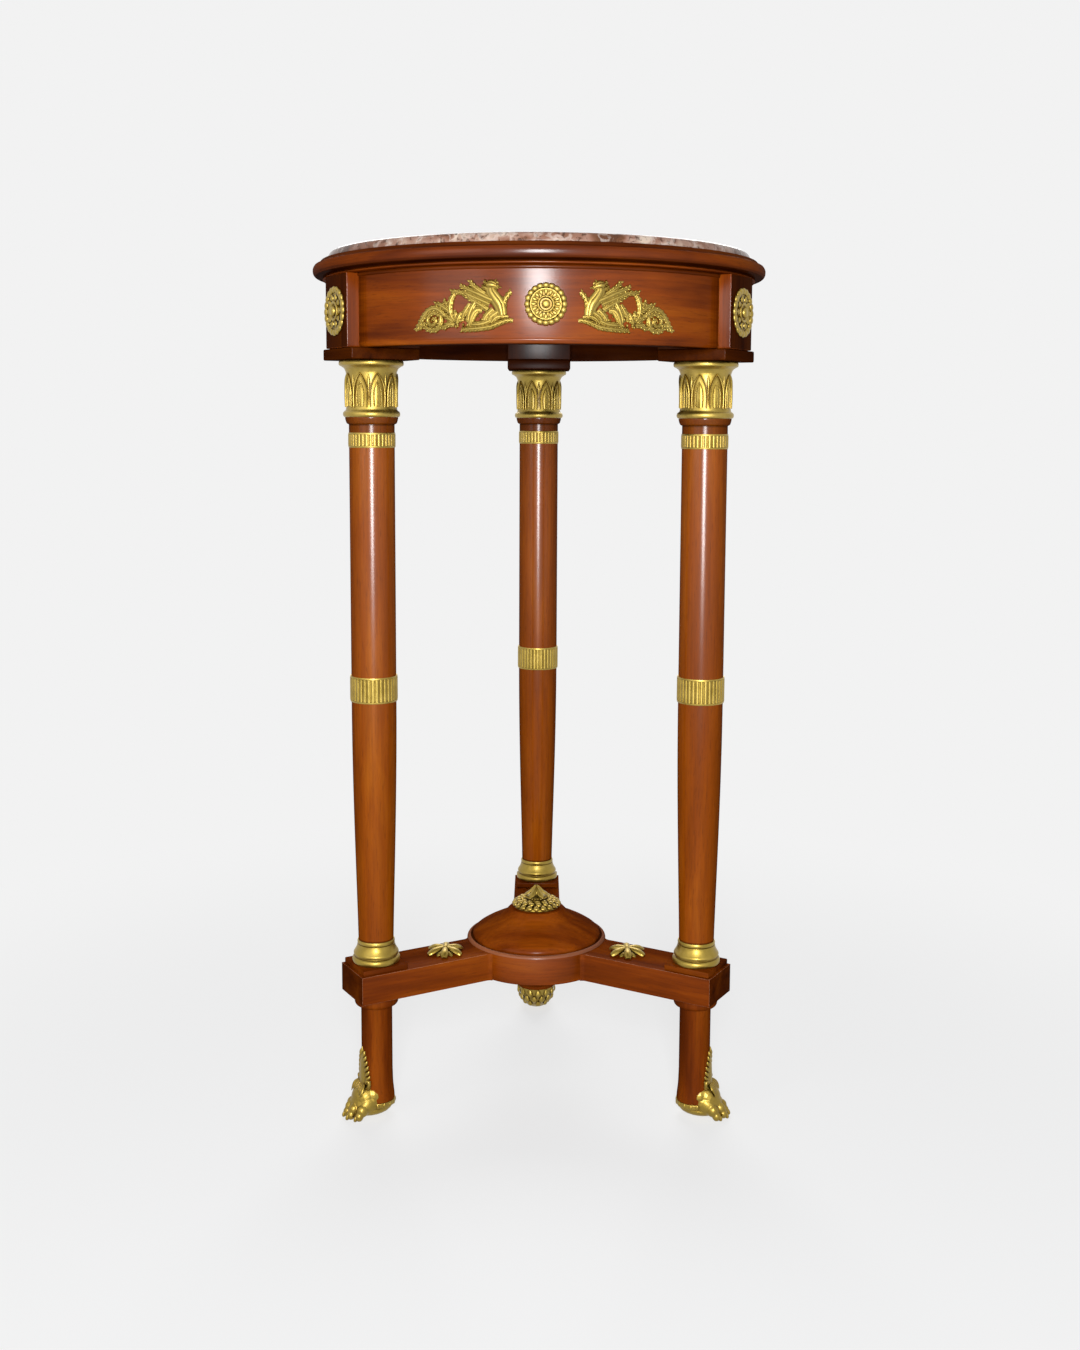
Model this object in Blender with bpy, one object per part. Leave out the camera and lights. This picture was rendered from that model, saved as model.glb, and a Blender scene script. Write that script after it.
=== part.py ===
"""Round three-column gueridon: loose marble top, mahogany frame, gilt bronze mounts, lion-paw feet.

Metres, +Z up. The floor is z = 0 and the table's axis is the Z axis. The front faces -Y.
"""
import math

import bmesh
import bpy
from mathutils import Matrix
from mathutils import Vector

# Fit kept between two pieces that touch in the real table.
GAP = 0.0003

# Plan: the rim sets the drum of the apron, the drum sets the circle on which the columns stand.
RIM_RADIUS = 0.2100
RIM_OVERHANG = 0.0150
COLUMN_INSET = 0.0235
COLUMN_ANGLES = {"left": 210.0, "right": 330.0, "rear": 90.0}
PANEL_ANGLES = {"front": 270.0, "right": 30.0, "left": 150.0}

# Lion-paw sabot: toes point away from the axis, the heel pad carries the leg.
PAW_REACH = 0.0338
PAW_BACK = 0.0050
PAW_HALF_WIDTH = 0.0160
PAW_HEIGHT = 0.0330
TOE_RADIUS = 0.0052
TOE_STRETCH = 1.45
HEEL_RADIUS = 0.0170
HEEL_UNDERSIDE = 0.0095
HEEL_TOP = 0.0142
LEAF_TIP_HEIGHT = 0.0668
LEAF_HALF_ANGLE = 52.0
LEAF_THICKNESS = 0.0026
RIGHT_PAW_TURN = 14.0

# Turned leg with its collar, tenoned up into the arm.
LEG_LENGTH = 0.1008
LEG_RADIUS = 0.0144
LEG_FLARE = 0.0017
LEG_FLARE_HEIGHT = 0.0300
LEG_COLLAR_PROUD = 0.0052
LEG_COLLAR_HEIGHT = 0.0062

# Round tenons of the legs and columns.
TENON_RADIUS = 0.0080
TENON_LENGTH = 0.0095

# Base: round hub standing a little above the three arms, whose tongues are let into it.
ARM_HEIGHT = 0.0260
ARM_WIDTH = 0.0482
ARM_OVERHANG = 0.0244
HUB_RADIUS = 0.0680
HUB_RISE = 0.0024
TONGUE_LENGTH = 0.0180
TONGUE_WIDTH = 0.0260
TONGUE_HEIGHT = 0.0100
SPIGOT_RADIUS = 0.0100
SPIGOT_LENGTH = 0.0060

# Turned dome on the hub with its leaf finial, and the drop below with its boss.
DOME_SETBACK = 0.0055
DOME_HEIGHT = 0.0268
FINIAL_RADIUS = 0.0228
FINIAL_HEIGHT = 0.0195
DROP_SETBACK = 0.0105
DROP_HEIGHT = 0.0243
BOSS_RADIUS = 0.0172
BOSS_HEIGHT = 0.0218

# Star mounts on the arms, measured out from the hub.
STAR_OFFSET = 0.0320
STAR_RADIUS = 0.0195
STAR_DEPTH = 0.0042
STAR_POINTS = 6

# Column: square plinth, bronze base, tapered shaft with two bronze collars, capital, abacus.
PLINTH_HEIGHT = 0.0050
PLINTH_HALF = 0.0222
BASE_HEIGHT = 0.0226
BASE_RADIUS = 0.0214
SHAFT_LENGTH = 0.4777
SHAFT_FOOT_RADIUS = 0.0162
SHAFT_TOP_RADIUS = 0.0203
SHAFT_FILLET_PROUD = 0.0036
SHAFT_FILLET_HEIGHT = 0.0045
SHAFT_COVE_HEIGHT = 0.0065
COLLAR_WALL = 0.0012
LOWER_COLLAR_START = 0.2221
LOWER_COLLAR_HEIGHT = 0.0235
LOWER_COLLAR_PROUD = 0.0009
REAR_COLLAR_DROP = 0.0115
UPPER_COLLAR_DROP = 0.0265
UPPER_COLLAR_HEIGHT = 0.0132
UPPER_COLLAR_PROUD = 0.0002
CAPITAL_HEIGHT = 0.0497
CAPITAL_RADIUS = 0.0288
CAPITAL_LEAVES = 9
LEAF_RELIEF = 0.0009
ABACUS_HEIGHT = 0.0098
ABACUS_HALF = 0.0325

# Apron: three posts and three bent panels.
APRON_HEIGHT = 0.0635
APRON_WALL = 0.0180
BLOCK_PROUD = 0.0095
BLOCK_HALF = 0.0240
POST_HALF = 0.0325
POST_DEPTH = 0.0325
POST_PLAY = 0.0010

# Gilt mounts of the apron.
ROSETTE_RADIUS = 0.0175
ROSETTE_DEPTH = 0.0055
BLOCK_ROSETTE_RADIUS = 0.0215
BLOCK_ROSETTE_DEPTH = 0.0050
ROSETTE_PETALS = 12
MOUNT_DEPTH = 0.0036
MOUNT_STRIP = 0.0115
MOUNT_UNIT = 0.001
FRONT_MOUNT_SHIFT = 0.0058

# Top: moulded rim with a bed for the marble, boarded middle, loose marble slab.
RIM_HEIGHT = 0.0176
RIM_MOULDING = 0.0130
RIM_BED_WIDTH = 0.0470
RIM_BED_HEIGHT = 0.0082
MARBLE_PLAY = 0.0005
MARBLE_HEIGHT = 0.0172

# Number of flats used for each round.
COLUMN_SIDES = 16
LEAF_SIDES = 20
HUB_SIDES = 32
TOP_SIDES = 40

# Radii and reaches that follow from the sizes above.
APRON_RADIUS = RIM_RADIUS - RIM_OVERHANG
COLUMN_CIRCLE = APRON_RADIUS - COLUMN_INSET
BLOCK_FACE = APRON_RADIUS + BLOCK_PROUD
POST_INNER = COLUMN_CIRCLE - POST_DEPTH
POST_OUTER = math.sqrt((APRON_RADIUS - APRON_WALL - POST_PLAY) ** 2 - POST_HALF ** 2)
RIM_LIP_RADIUS = RIM_RADIUS - RIM_MOULDING
RIM_INNER_RADIUS = RIM_LIP_RADIUS - RIM_BED_WIDTH
MARBLE_RADIUS = RIM_LIP_RADIUS - MARBLE_PLAY
ARM_END = COLUMN_CIRCLE + ARM_OVERHANG
STAR_CENTRE = HUB_RADIUS + STAR_OFFSET
DOME_RADIUS = HUB_RADIUS - DOME_SETBACK
DROP_RADIUS = HUB_RADIUS - DROP_SETBACK
LEG_FLARE_RADIUS = LEG_RADIUS + LEG_FLARE
LEG_COLLAR_RADIUS = LEG_RADIUS + LEG_COLLAR_PROUD
SHAFT_FILLET_RADIUS = SHAFT_TOP_RADIUS + SHAFT_FILLET_PROUD
UPPER_COLLAR_START = SHAFT_LENGTH - UPPER_COLLAR_DROP

# Levels that follow from the sizes above.
LEG_FOOT = HEEL_TOP + GAP
LEG_TOP = LEG_FOOT + LEG_LENGTH
ARM_BOTTOM = LEG_TOP + GAP
ARM_TOP = ARM_BOTTOM + ARM_HEIGHT
HUB_TOP = ARM_TOP + HUB_RISE
DOME_TOP = HUB_TOP + GAP + DOME_HEIGHT
PLINTH_BOTTOM = ARM_TOP + GAP
BASE_BOTTOM = PLINTH_BOTTOM + PLINTH_HEIGHT + GAP
SHAFT_FOOT = BASE_BOTTOM + BASE_HEIGHT + GAP
SHAFT_TOP = SHAFT_FOOT + SHAFT_LENGTH
CAPITAL_BOTTOM = SHAFT_TOP + GAP
ABACUS_BOTTOM = CAPITAL_BOTTOM + CAPITAL_HEIGHT + GAP
APRON_BOTTOM = ABACUS_BOTTOM + ABACUS_HEIGHT + GAP
APRON_MIDDLE = APRON_BOTTOM + APRON_HEIGHT / 2
RIM_BOTTOM = APRON_BOTTOM + APRON_HEIGHT + GAP
MARBLE_BOTTOM = RIM_BOTTOM + RIM_BED_HEIGHT + GAP


def clear_scene():
    for old in list(bpy.data.objects):
        bpy.data.objects.remove(old, do_unlink=True)


def make_material(name, colour, roughness, metallic):
    material = bpy.data.materials.new(name)
    material.use_nodes = True
    shader = material.node_tree.nodes["Principled BSDF"]
    shader.inputs["Base Color"].default_value = (*colour, 1.0)
    shader.inputs["Roughness"].default_value = roughness
    shader.inputs["Metallic"].default_value = metallic
    return material


def face_outward(mesh):
    work = bmesh.new()
    work.from_mesh(mesh)
    bmesh.ops.recalc_face_normals(work, faces=work.faces)
    work.to_mesh(mesh)
    work.free()


def make_object(name, points, faces, material):
    mesh = bpy.data.meshes.new(name)
    mesh.from_pydata(points, [], faces)
    face_outward(mesh)
    if material is not None:
        mesh.materials.append(material)
    made = bpy.data.objects.new(name, mesh)
    bpy.context.scene.collection.objects.link(made)
    return made


def turned(name, profile, sides, material, ring=False, lobes=0.0, lobed=()):
    """Turn a (radius, height) profile round Z; lobed rows swell on every second flat."""
    points = []
    rows = []
    for index, (radius, height) in enumerate(profile):
        if radius == 0.0:
            rows.append([len(points)])
            points.append((0.0, 0.0, height))
            continue
        row = []
        for side in range(sides):
            angle = 2 * math.pi * side / sides
            swell = lobes if index in lobed and side % 2 == 0 else 0.0
            row.append(len(points))
            points.append(((radius + swell) * math.cos(angle), (radius + swell) * math.sin(angle), height))
        rows.append(row)
    pairs = list(zip(rows, rows[1:]))
    if ring:
        pairs.append((rows[-1], rows[0]))
    faces = []
    for low, high in pairs:
        for side in range(sides):
            after = (side + 1) % sides
            if len(low) == 1:
                faces.append((low[0], high[side], high[after]))
            elif len(high) == 1:
                faces.append((low[side], low[after], high[0]))
            else:
                faces.append((low[side], low[after], high[after], high[side]))
    return make_object(name, points, faces, material)


def prism(name, outline, bottom, top, material):
    count = len(outline)
    points = [(x, y, bottom) for x, y in outline] + [(x, y, top) for x, y in outline]
    faces = [tuple(range(count)), tuple(range(count, 2 * count))]
    for index in range(count):
        after = (index + 1) % count
        faces.append((index, after, count + after, count + index))
    return make_object(name, points, faces, material)


def box(name, low, high, material=None):
    outline = [(low[0], low[1]), (high[0], low[1]), (high[0], high[1]), (low[0], high[1])]
    return prism(name, outline, low[2], high[2], material)


def move(piece, x=0.0, y=0.0, z=0.0):
    piece.data.transform(Matrix.Translation((x, y, z)))
    return piece


def turn_to(piece, degrees):
    piece.data.transform(Matrix.Rotation(math.radians(degrees), 4, "Z"))
    return piece


def combine(piece, other, operation):
    """Join the other solid to the piece, or cut it away, and drop the other solid."""
    change = piece.modifiers.new("change", "BOOLEAN")
    change.operation = operation
    change.solver = "EXACT"
    change.object = other
    graph = bpy.context.evaluated_depsgraph_get()
    mesh = bpy.data.meshes.new_from_object(piece.evaluated_get(graph))
    piece.modifiers.remove(change)
    old = piece.data
    mesh.materials.clear()
    for material in old.materials:
        mesh.materials.append(material)
    for face in mesh.polygons:
        face.material_index = 0
    piece.data = mesh
    mesh.name = piece.name
    bpy.data.meshes.remove(old)
    bpy.data.objects.remove(other, do_unlink=True)
    return piece


def peg(radius, bottom, top):
    return turned("cutter", [(0.0, bottom), (radius, bottom), (radius, top), (0.0, top)], COLUMN_SIDES, None)


def finish(piece, sharp_degrees=35.0):
    piece.data.shade_smooth()
    piece.data.set_sharp_from_angle(angle=math.radians(sharp_degrees))
    return piece


def leg_profile(grow):
    """The leg's outside; grow gives the larger solid that hollows the sabot round it."""
    collar_low = LEG_TOP - LEG_COLLAR_HEIGHT
    return [
        (0.0, LEG_FOOT - grow),
        (LEG_FLARE_RADIUS + grow, LEG_FOOT - grow),
        (LEG_FLARE_RADIUS + grow, LEG_FOOT + 0.1 * LEG_FLARE_HEIGHT),
        (LEG_RADIUS + 0.3 * (LEG_FLARE_RADIUS - LEG_RADIUS) + grow, LEG_FOOT + 0.5 * LEG_FLARE_HEIGHT),
        (LEG_RADIUS + grow, LEG_FOOT + LEG_FLARE_HEIGHT),
        (LEG_RADIUS + grow, collar_low),
    ]


def make_leg(name, material):
    collar_low = LEG_TOP - LEG_COLLAR_HEIGHT
    profile = leg_profile(0.0) + [
        (LEG_COLLAR_RADIUS - 0.2 * LEG_COLLAR_HEIGHT, collar_low),
        (LEG_COLLAR_RADIUS, LEG_TOP - 0.6 * LEG_COLLAR_HEIGHT),
        (LEG_COLLAR_RADIUS, LEG_TOP),
        (TENON_RADIUS, LEG_TOP),
        (TENON_RADIUS, LEG_TOP + TENON_LENGTH),
        (0.0, LEG_TOP + TENON_LENGTH),
    ]
    return turned(name, profile, COLUMN_SIDES, material)


def make_paw(name, material):
    """Cast sabot: lofted paw, four toes, heel pad and a pointed leaf up the leg, cut to the leg."""
    length = PAW_REACH + PAW_BACK
    stations = [(0.0, 0.80, 0.80), (0.28, 0.92, 0.95), (0.50, 1.0, 1.0), (0.68, 1.0, 0.80)]
    stations += [(0.84, 0.96, 0.56), (0.95, 0.80, 0.36), (1.0, 0.60, 0.22)]
    section = [(-0.86, 0.0), (-1.0, 0.28), (-0.86, 0.66), (-0.48, 0.93), (0.0, 1.0)]
    section += [(-across, up) for across, up in reversed(section[:-1])]
    points = []
    for along, width, height in stations:
        for across, up in section:
            y = across * width * PAW_HALF_WIDTH
            points.append((along * length - PAW_BACK, y, up * height * PAW_HEIGHT))
    count = len(section)
    faces = [tuple(range(count)), tuple(range(count * (len(stations) - 1), count * len(stations)))]
    for row in range(len(stations) - 1):
        for index in range(count):
            after = (index + 1) % count
            start = row * count
            faces.append((start + index, start + after, start + count + after, start + count + index))
    paw = make_object(name, points, faces, material)
    for across, back in ((-0.72, 0.16), (-0.26, 0.06), (0.26, 0.06), (0.72, 0.16)):
        toe = [(0.0, 0.0), (0.8 * TOE_RADIUS, 0.0), (TOE_RADIUS, 0.9 * TOE_RADIUS)]
        toe += [(0.85 * TOE_RADIUS, 2.0 * TOE_RADIUS), (0.4 * TOE_RADIUS, 2.7 * TOE_RADIUS)]
        toe += [(0.0, 2.85 * TOE_RADIUS)]
        lobe = turned("cutter", toe, 8, None)
        lobe.data.transform(Matrix.Diagonal((TOE_STRETCH, 0.95, 1.0, 1.0)))
        move(lobe, PAW_REACH - TOE_STRETCH * TOE_RADIUS - back * length, across * 0.88 * PAW_HALF_WIDTH)
        combine(paw, lobe, "UNION")
    heel = [(0.0, HEEL_UNDERSIDE), (HEEL_RADIUS, HEEL_UNDERSIDE), (HEEL_RADIUS, HEEL_TOP), (0.0, HEEL_TOP)]
    combine(paw, turned("cutter", heel, COLUMN_SIDES, None), "UNION")
    combine(paw, make_leaf(), "UNION")
    hollow = leg_profile(GAP)
    hollow.append((0.0, hollow[-1][1]))
    combine(paw, turned("cutter", hollow, COLUMN_SIDES, None), "DIFFERENCE")
    return paw


def make_leaf():
    """Pointed leaf bent round the front of the leg; its back is left deep and is cut away later."""
    low = 0.70 * PAW_HEIGHT
    inside = 0.80 * LEG_RADIUS
    outside = LEG_FLARE_RADIUS + GAP + LEAF_THICKNESS
    tip = LEG_RADIUS + GAP + 0.6 * LEAF_THICKNESS
    rows = [(0.0, 1.0), (0.26, 0.92), (0.50, 0.72), (0.74, 0.46), (1.0, 0.06)]
    columns = (-1.0, -0.5, 0.0, 0.5, 1.0)
    points = []
    for rise, spread in rows:
        height = low + rise * (LEAF_TIP_HEIGHT - low)
        radius = outside + rise * (tip - outside)
        for across in columns:
            angle = math.radians(LEAF_HALF_ANGLE * spread * across)
            rib = radius + (0.35 * LEAF_THICKNESS if across == 0.0 else 0.0)
            points.append((rib * math.cos(angle), rib * math.sin(angle), height))
        for across in reversed(columns):
            angle = math.radians(LEAF_HALF_ANGLE * spread * across)
            points.append((inside * math.cos(angle), inside * math.sin(angle), height))
    count = 2 * len(columns)
    faces = [tuple(range(count)), tuple(range(count * (len(rows) - 1), count * len(rows)))]
    for row in range(len(rows) - 1):
        for index in range(count):
            after = (index + 1) % count
            start = row * count
            faces.append((start + index, start + after, start + count + after, start + count + index))
    return make_object("cutter", points, faces, None)


def make_arm(name, material):
    half = ARM_WIDTH / 2
    seat = HUB_RADIUS + GAP
    steps = 8
    outline = []
    for step in range(steps + 1):
        across = half - 2 * half * step / steps
        outline.append((math.sqrt(seat * seat - across * across), across))
    outline += [(ARM_END, -half), (ARM_END, half)]
    arm = prism(name, outline, ARM_BOTTOM, ARM_TOP, material)
    middle = (ARM_BOTTOM + ARM_TOP) / 2
    low = (HUB_RADIUS - TONGUE_LENGTH, -TONGUE_WIDTH / 2, middle - TONGUE_HEIGHT / 2)
    high = (HUB_RADIUS + 0.2 * TONGUE_LENGTH, TONGUE_WIDTH / 2, middle + TONGUE_HEIGHT / 2)
    combine(arm, box("cutter", low, high), "UNION")
    hole = TENON_RADIUS + GAP
    depth = TENON_LENGTH + GAP
    combine(arm, move(peg(hole, ARM_TOP - depth, ARM_TOP + depth), COLUMN_CIRCLE), "DIFFERENCE")
    combine(arm, move(peg(hole, ARM_BOTTOM - depth, ARM_BOTTOM + depth), COLUMN_CIRCLE), "DIFFERENCE")
    return arm


def make_hub(name, material):
    profile = [(0.0, ARM_BOTTOM), (HUB_RADIUS, ARM_BOTTOM), (HUB_RADIUS, HUB_TOP), (0.0, HUB_TOP)]
    hub = turned(name, profile, HUB_SIDES, material)
    middle = (ARM_BOTTOM + ARM_TOP) / 2
    for degrees in COLUMN_ANGLES.values():
        half = TONGUE_WIDTH / 2 + GAP
        low = (HUB_RADIUS - TONGUE_LENGTH - GAP, -half, middle - TONGUE_HEIGHT / 2 - GAP)
        high = (HUB_RADIUS + TONGUE_LENGTH, half, middle + TONGUE_HEIGHT / 2 + GAP)
        combine(hub, turn_to(box("cutter", low, high), degrees), "DIFFERENCE")
    hole = SPIGOT_RADIUS + GAP
    depth = SPIGOT_LENGTH + GAP
    combine(hub, peg(hole, HUB_TOP - depth, HUB_TOP + depth), "DIFFERENCE")
    combine(hub, peg(hole, ARM_BOTTOM - depth, ARM_BOTTOM + depth), "DIFFERENCE")
    return hub


def make_dome(name, material):
    seat = HUB_TOP + GAP
    profile = [(0.0, HUB_TOP - SPIGOT_LENGTH), (SPIGOT_RADIUS, HUB_TOP - SPIGOT_LENGTH), (SPIGOT_RADIUS, seat)]
    rise = [(1.0, 0.0), (1.0, 0.09), (0.95, 0.27), (0.84, 0.41), (0.69, 0.52)]
    rise += [(0.55, 0.63), (0.47, 0.78), (0.43, 1.0)]
    profile += [(reach * DOME_RADIUS, seat + up * DOME_HEIGHT) for reach, up in rise]
    profile.append((0.0, DOME_TOP))
    return turned(name, profile, HUB_SIDES, material)


def make_finial(name, material):
    seat = DOME_TOP + GAP
    rise = [(0.0, 0.0), (0.96, 0.0), (1.0, 0.16), (0.86, 0.32), (0.64, 0.38), (0.52, 0.50)]
    rise += [(0.40, 0.70), (0.20, 0.88), (0.0, 1.0)]
    profile = [(reach * FINIAL_RADIUS, seat + up * FINIAL_HEIGHT) for reach, up in rise]
    return turned(name, profile, LEAF_SIDES, material, lobes=-0.06 * FINIAL_RADIUS, lobed=(1, 2, 5, 6))


def make_drop(name, material):
    seat = ARM_BOTTOM - GAP
    fall = [(0.0, 1.0), (0.375, 1.0), (0.46, 0.94), (0.61, 0.78), (0.78, 0.54), (0.97, 0.22), (1.0, 0.0)]
    profile = [(reach * DROP_RADIUS, seat - down * DROP_HEIGHT) for reach, down in fall]
    profile += [(SPIGOT_RADIUS, seat), (SPIGOT_RADIUS, ARM_BOTTOM + SPIGOT_LENGTH)]
    profile.append((0.0, ARM_BOTTOM + SPIGOT_LENGTH))
    return turned(name, profile, LEAF_SIDES, material)


def make_boss(name, material):
    seat = ARM_BOTTOM - GAP - DROP_HEIGHT - GAP
    fall = [(0.0, 1.0), (0.20, 0.98), (0.48, 0.87), (0.75, 0.66), (0.93, 0.40), (1.0, 0.14), (0.97, 0.0), (0.0, 0.0)]
    profile = [(reach * BOSS_RADIUS, seat - down * BOSS_HEIGHT) for reach, down in fall]
    return turned(name, profile, LEAF_SIDES, material, lobes=-0.07 * BOSS_RADIUS, lobed=(2, 3, 4, 5))


def make_star(name, material):
    """Flat leaf star with a raised middle, fixed on the top of an arm."""
    seat = ARM_TOP + GAP
    count = 2 * STAR_POINTS
    points = [(STAR_CENTRE, 0.0, seat), (STAR_CENTRE, 0.0, seat + STAR_DEPTH)]
    for height, long_reach, short_reach in ((0.0, 1.0, 0.46), (0.22, 1.0, 0.46), (0.80, 0.42, 0.26)):
        for index in range(count):
            reach = STAR_RADIUS * (long_reach if index % 2 == 0 else short_reach)
            angle = 2 * math.pi * index / count
            x = STAR_CENTRE + reach * math.cos(angle)
            points.append((x, reach * math.sin(angle), seat + height * STAR_DEPTH))
    faces = []
    for index in range(count):
        after = (index + 1) % count
        low = [2 + index, 2 + after]
        faces.append((0, low[1], low[0]))
        faces.append((low[0], low[1], low[1] + count, low[0] + count))
        faces.append((low[0] + count, low[1] + count, low[1] + 2 * count, low[0] + 2 * count))
        faces.append((low[0] + 2 * count, low[1] + 2 * count, 1))
    return make_object(name, points, faces, material)


def make_square_plate(name, half, bottom, height, material):
    plate = box(name, (-half, -half, bottom), (half, half, bottom + height), material)
    return combine(plate, peg(TENON_RADIUS + GAP, bottom - height, bottom + 2 * height), "DIFFERENCE")


def make_base(name, material):
    bore = TENON_RADIUS + GAP
    rise = [(0.95, 0.0), (1.0, 0.14), (0.92, 0.30), (0.90, 0.34), (0.925, 0.46)]
    rise += [(0.87, 0.66), (0.80, 0.82), (0.795, 1.0)]
    profile = [(reach * BASE_RADIUS, BASE_BOTTOM + up * BASE_HEIGHT) for reach, up in rise]
    profile += [(bore, BASE_BOTTOM + BASE_HEIGHT), (bore, BASE_BOTTOM)]
    return turned(name, profile, COLUMN_SIDES, material, ring=True)


def shaft_radius(height):
    """Straight above the lower collar, tapering below it."""
    share = min(1.0, height / LOWER_COLLAR_START)
    return SHAFT_FOOT_RADIUS + (SHAFT_TOP_RADIUS - SHAFT_FOOT_RADIUS) * math.sin(share * math.pi / 2) ** 1.15


def collar_core(start):
    """Radius of the shallow seat turned in the shaft for a collar."""
    return shaft_radius(start) - COLLAR_WALL


def make_shaft(name, material, collar_starts):
    marks = [0.0, 0.30 * LOWER_COLLAR_START, 0.62 * LOWER_COLLAR_START]
    profile = [(0.0, ARM_TOP - TENON_LENGTH), (TENON_RADIUS, ARM_TOP - TENON_LENGTH), (TENON_RADIUS, SHAFT_FOOT)]
    profile += [(shaft_radius(mark), SHAFT_FOOT + mark) for mark in marks]
    for start, height in collar_starts:
        low = start - GAP
        high = start + height + GAP
        core = collar_core(start)
        profile += [(shaft_radius(low), SHAFT_FOOT + low), (core, SHAFT_FOOT + low)]
        profile += [(core, SHAFT_FOOT + high), (shaft_radius(high), SHAFT_FOOT + high)]
    fillet_low = SHAFT_TOP - SHAFT_FILLET_HEIGHT
    cove = [(0.0, 1.0), (0.38, 0.34), (1.0, 0.0)]
    for out, down in cove:
        profile.append((SHAFT_TOP_RADIUS + out * SHAFT_FILLET_PROUD, fillet_low - down * SHAFT_COVE_HEIGHT))
    profile += [(SHAFT_FILLET_RADIUS, SHAFT_TOP), (TENON_RADIUS, SHAFT_TOP)]
    profile += [(TENON_RADIUS, APRON_BOTTOM + TENON_LENGTH), (0.0, APRON_BOTTOM + TENON_LENGTH)]
    return turned(name, profile, COLUMN_SIDES, material)


def make_collar(name, material, start, height, proud):
    bore = collar_core(start) + GAP
    outside = shaft_radius(start) + proud
    low = SHAFT_FOOT + start
    profile = [(bore, low), (outside, low), (outside, low + height), (bore, low + height)]
    return turned(name, profile, COLUMN_SIDES, material, ring=True)


def make_capital(name, material):
    bore = TENON_RADIUS + GAP
    rise = [(0.83, 0.0), (0.89, 0.03), (0.89, 0.07), (0.805, 0.10), (0.785, 0.34)]
    rise += [(0.80, 0.66), (0.81, 0.80), (0.94, 0.91), (1.0, 0.955), (0.97, 1.0)]
    profile = [(reach * CAPITAL_RADIUS, CAPITAL_BOTTOM + up * CAPITAL_HEIGHT) for reach, up in rise]
    profile += [(bore, CAPITAL_BOTTOM + CAPITAL_HEIGHT), (bore, CAPITAL_BOTTOM)]
    return turned(name, profile, 2 * CAPITAL_LEAVES, material, ring=True, lobes=LEAF_RELIEF, lobed=(4, 5))


def make_block(name, material):
    """Post of the apron: wide inside the drum, narrow where it shows outside."""
    outline = [(POST_INNER, -POST_HALF), (POST_OUTER, -POST_HALF), (POST_OUTER, -BLOCK_HALF)]
    outline += [(BLOCK_FACE, -BLOCK_HALF), (BLOCK_FACE, BLOCK_HALF)]
    outline += [(POST_OUTER, BLOCK_HALF), (POST_OUTER, POST_HALF), (POST_INNER, POST_HALF)]
    block = prism(name, outline, APRON_BOTTOM, APRON_BOTTOM + APRON_HEIGHT, material)
    depth = TENON_LENGTH + GAP
    hole = move(peg(TENON_RADIUS + GAP, APRON_BOTTOM - depth, APRON_BOTTOM + depth), COLUMN_CIRCLE)
    return combine(block, hole, "DIFFERENCE")


def make_panel(name, material):
    steps = 17
    side = BLOCK_HALF + GAP
    outline = []
    for radius, direction in ((APRON_RADIUS, 1), (APRON_RADIUS - APRON_WALL, -1)):
        reach = math.pi / len(COLUMN_ANGLES) - math.asin(side / radius)
        for step in range(steps + 1):
            angle = direction * (2 * reach * step / steps - reach)
            outline.append((radius * math.cos(angle), radius * math.sin(angle)))
    points = [(x, y, APRON_BOTTOM) for x, y in outline]
    points += [(x, y, APRON_BOTTOM + APRON_HEIGHT) for x, y in outline]
    count = len(outline)
    faces = []
    for index in range(count):
        after = (index + 1) % count
        faces.append((index, after, count + after, count + index))
    for step in range(steps):
        inner = count - 1 - step
        faces.append((step, step + 1, inner - 1, inner))
        faces.append((count + step, count + step + 1, count + inner - 1, count + inner))
    return make_object(name, points, faces, material)


def wrap_on_apron(piece, along):
    """Bend a flat mount (x along, y out, z up) round the outside of the apron."""
    seat = APRON_RADIUS + GAP
    for vertex in piece.data.vertices:
        x, out, up = vertex.co
        angle = (x + along) / APRON_RADIUS
        radius = seat + out
        vertex.co = Vector((radius * math.cos(angle), radius * math.sin(angle), APRON_MIDDLE + up))
    face_outward(piece.data)
    return piece


def make_rosette(name, radius, depth, material):
    """Open flower, face towards +Y, with a button in the middle."""
    count = 2 * ROSETTE_PETALS
    rings = [(1.0, 0.0, 0.07, 0.0), (1.0, 0.30, 0.07, 0.0), (0.82, 0.85, 0.03, 0.35)]
    rings += [(0.44, 0.45, 0.0, 0.0), (0.30, 0.90, 0.0, 0.0)]
    points = [(0.0, 0.0, 0.0), (0.0, depth, 0.0)]
    for reach, rise, notch, groove in rings:
        for index in range(count):
            odd = index % 2
            angle = 2 * math.pi * index / count
            distance = radius * (reach - notch * odd)
            points.append((distance * math.cos(angle), depth * (rise - groove * odd), distance * math.sin(angle)))
    faces = []
    for index in range(count):
        after = (index + 1) % count
        faces.append((0, 2 + after, 2 + index))
        for ring in range(len(rings) - 1):
            start = 2 + ring * count
            faces.append((start + index, start + after, start + count + after, start + count + index))
        last = 2 + (len(rings) - 1) * count
        faces.append((last + index, last + after, 1))
    return make_object(name, points, faces, material)


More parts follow.
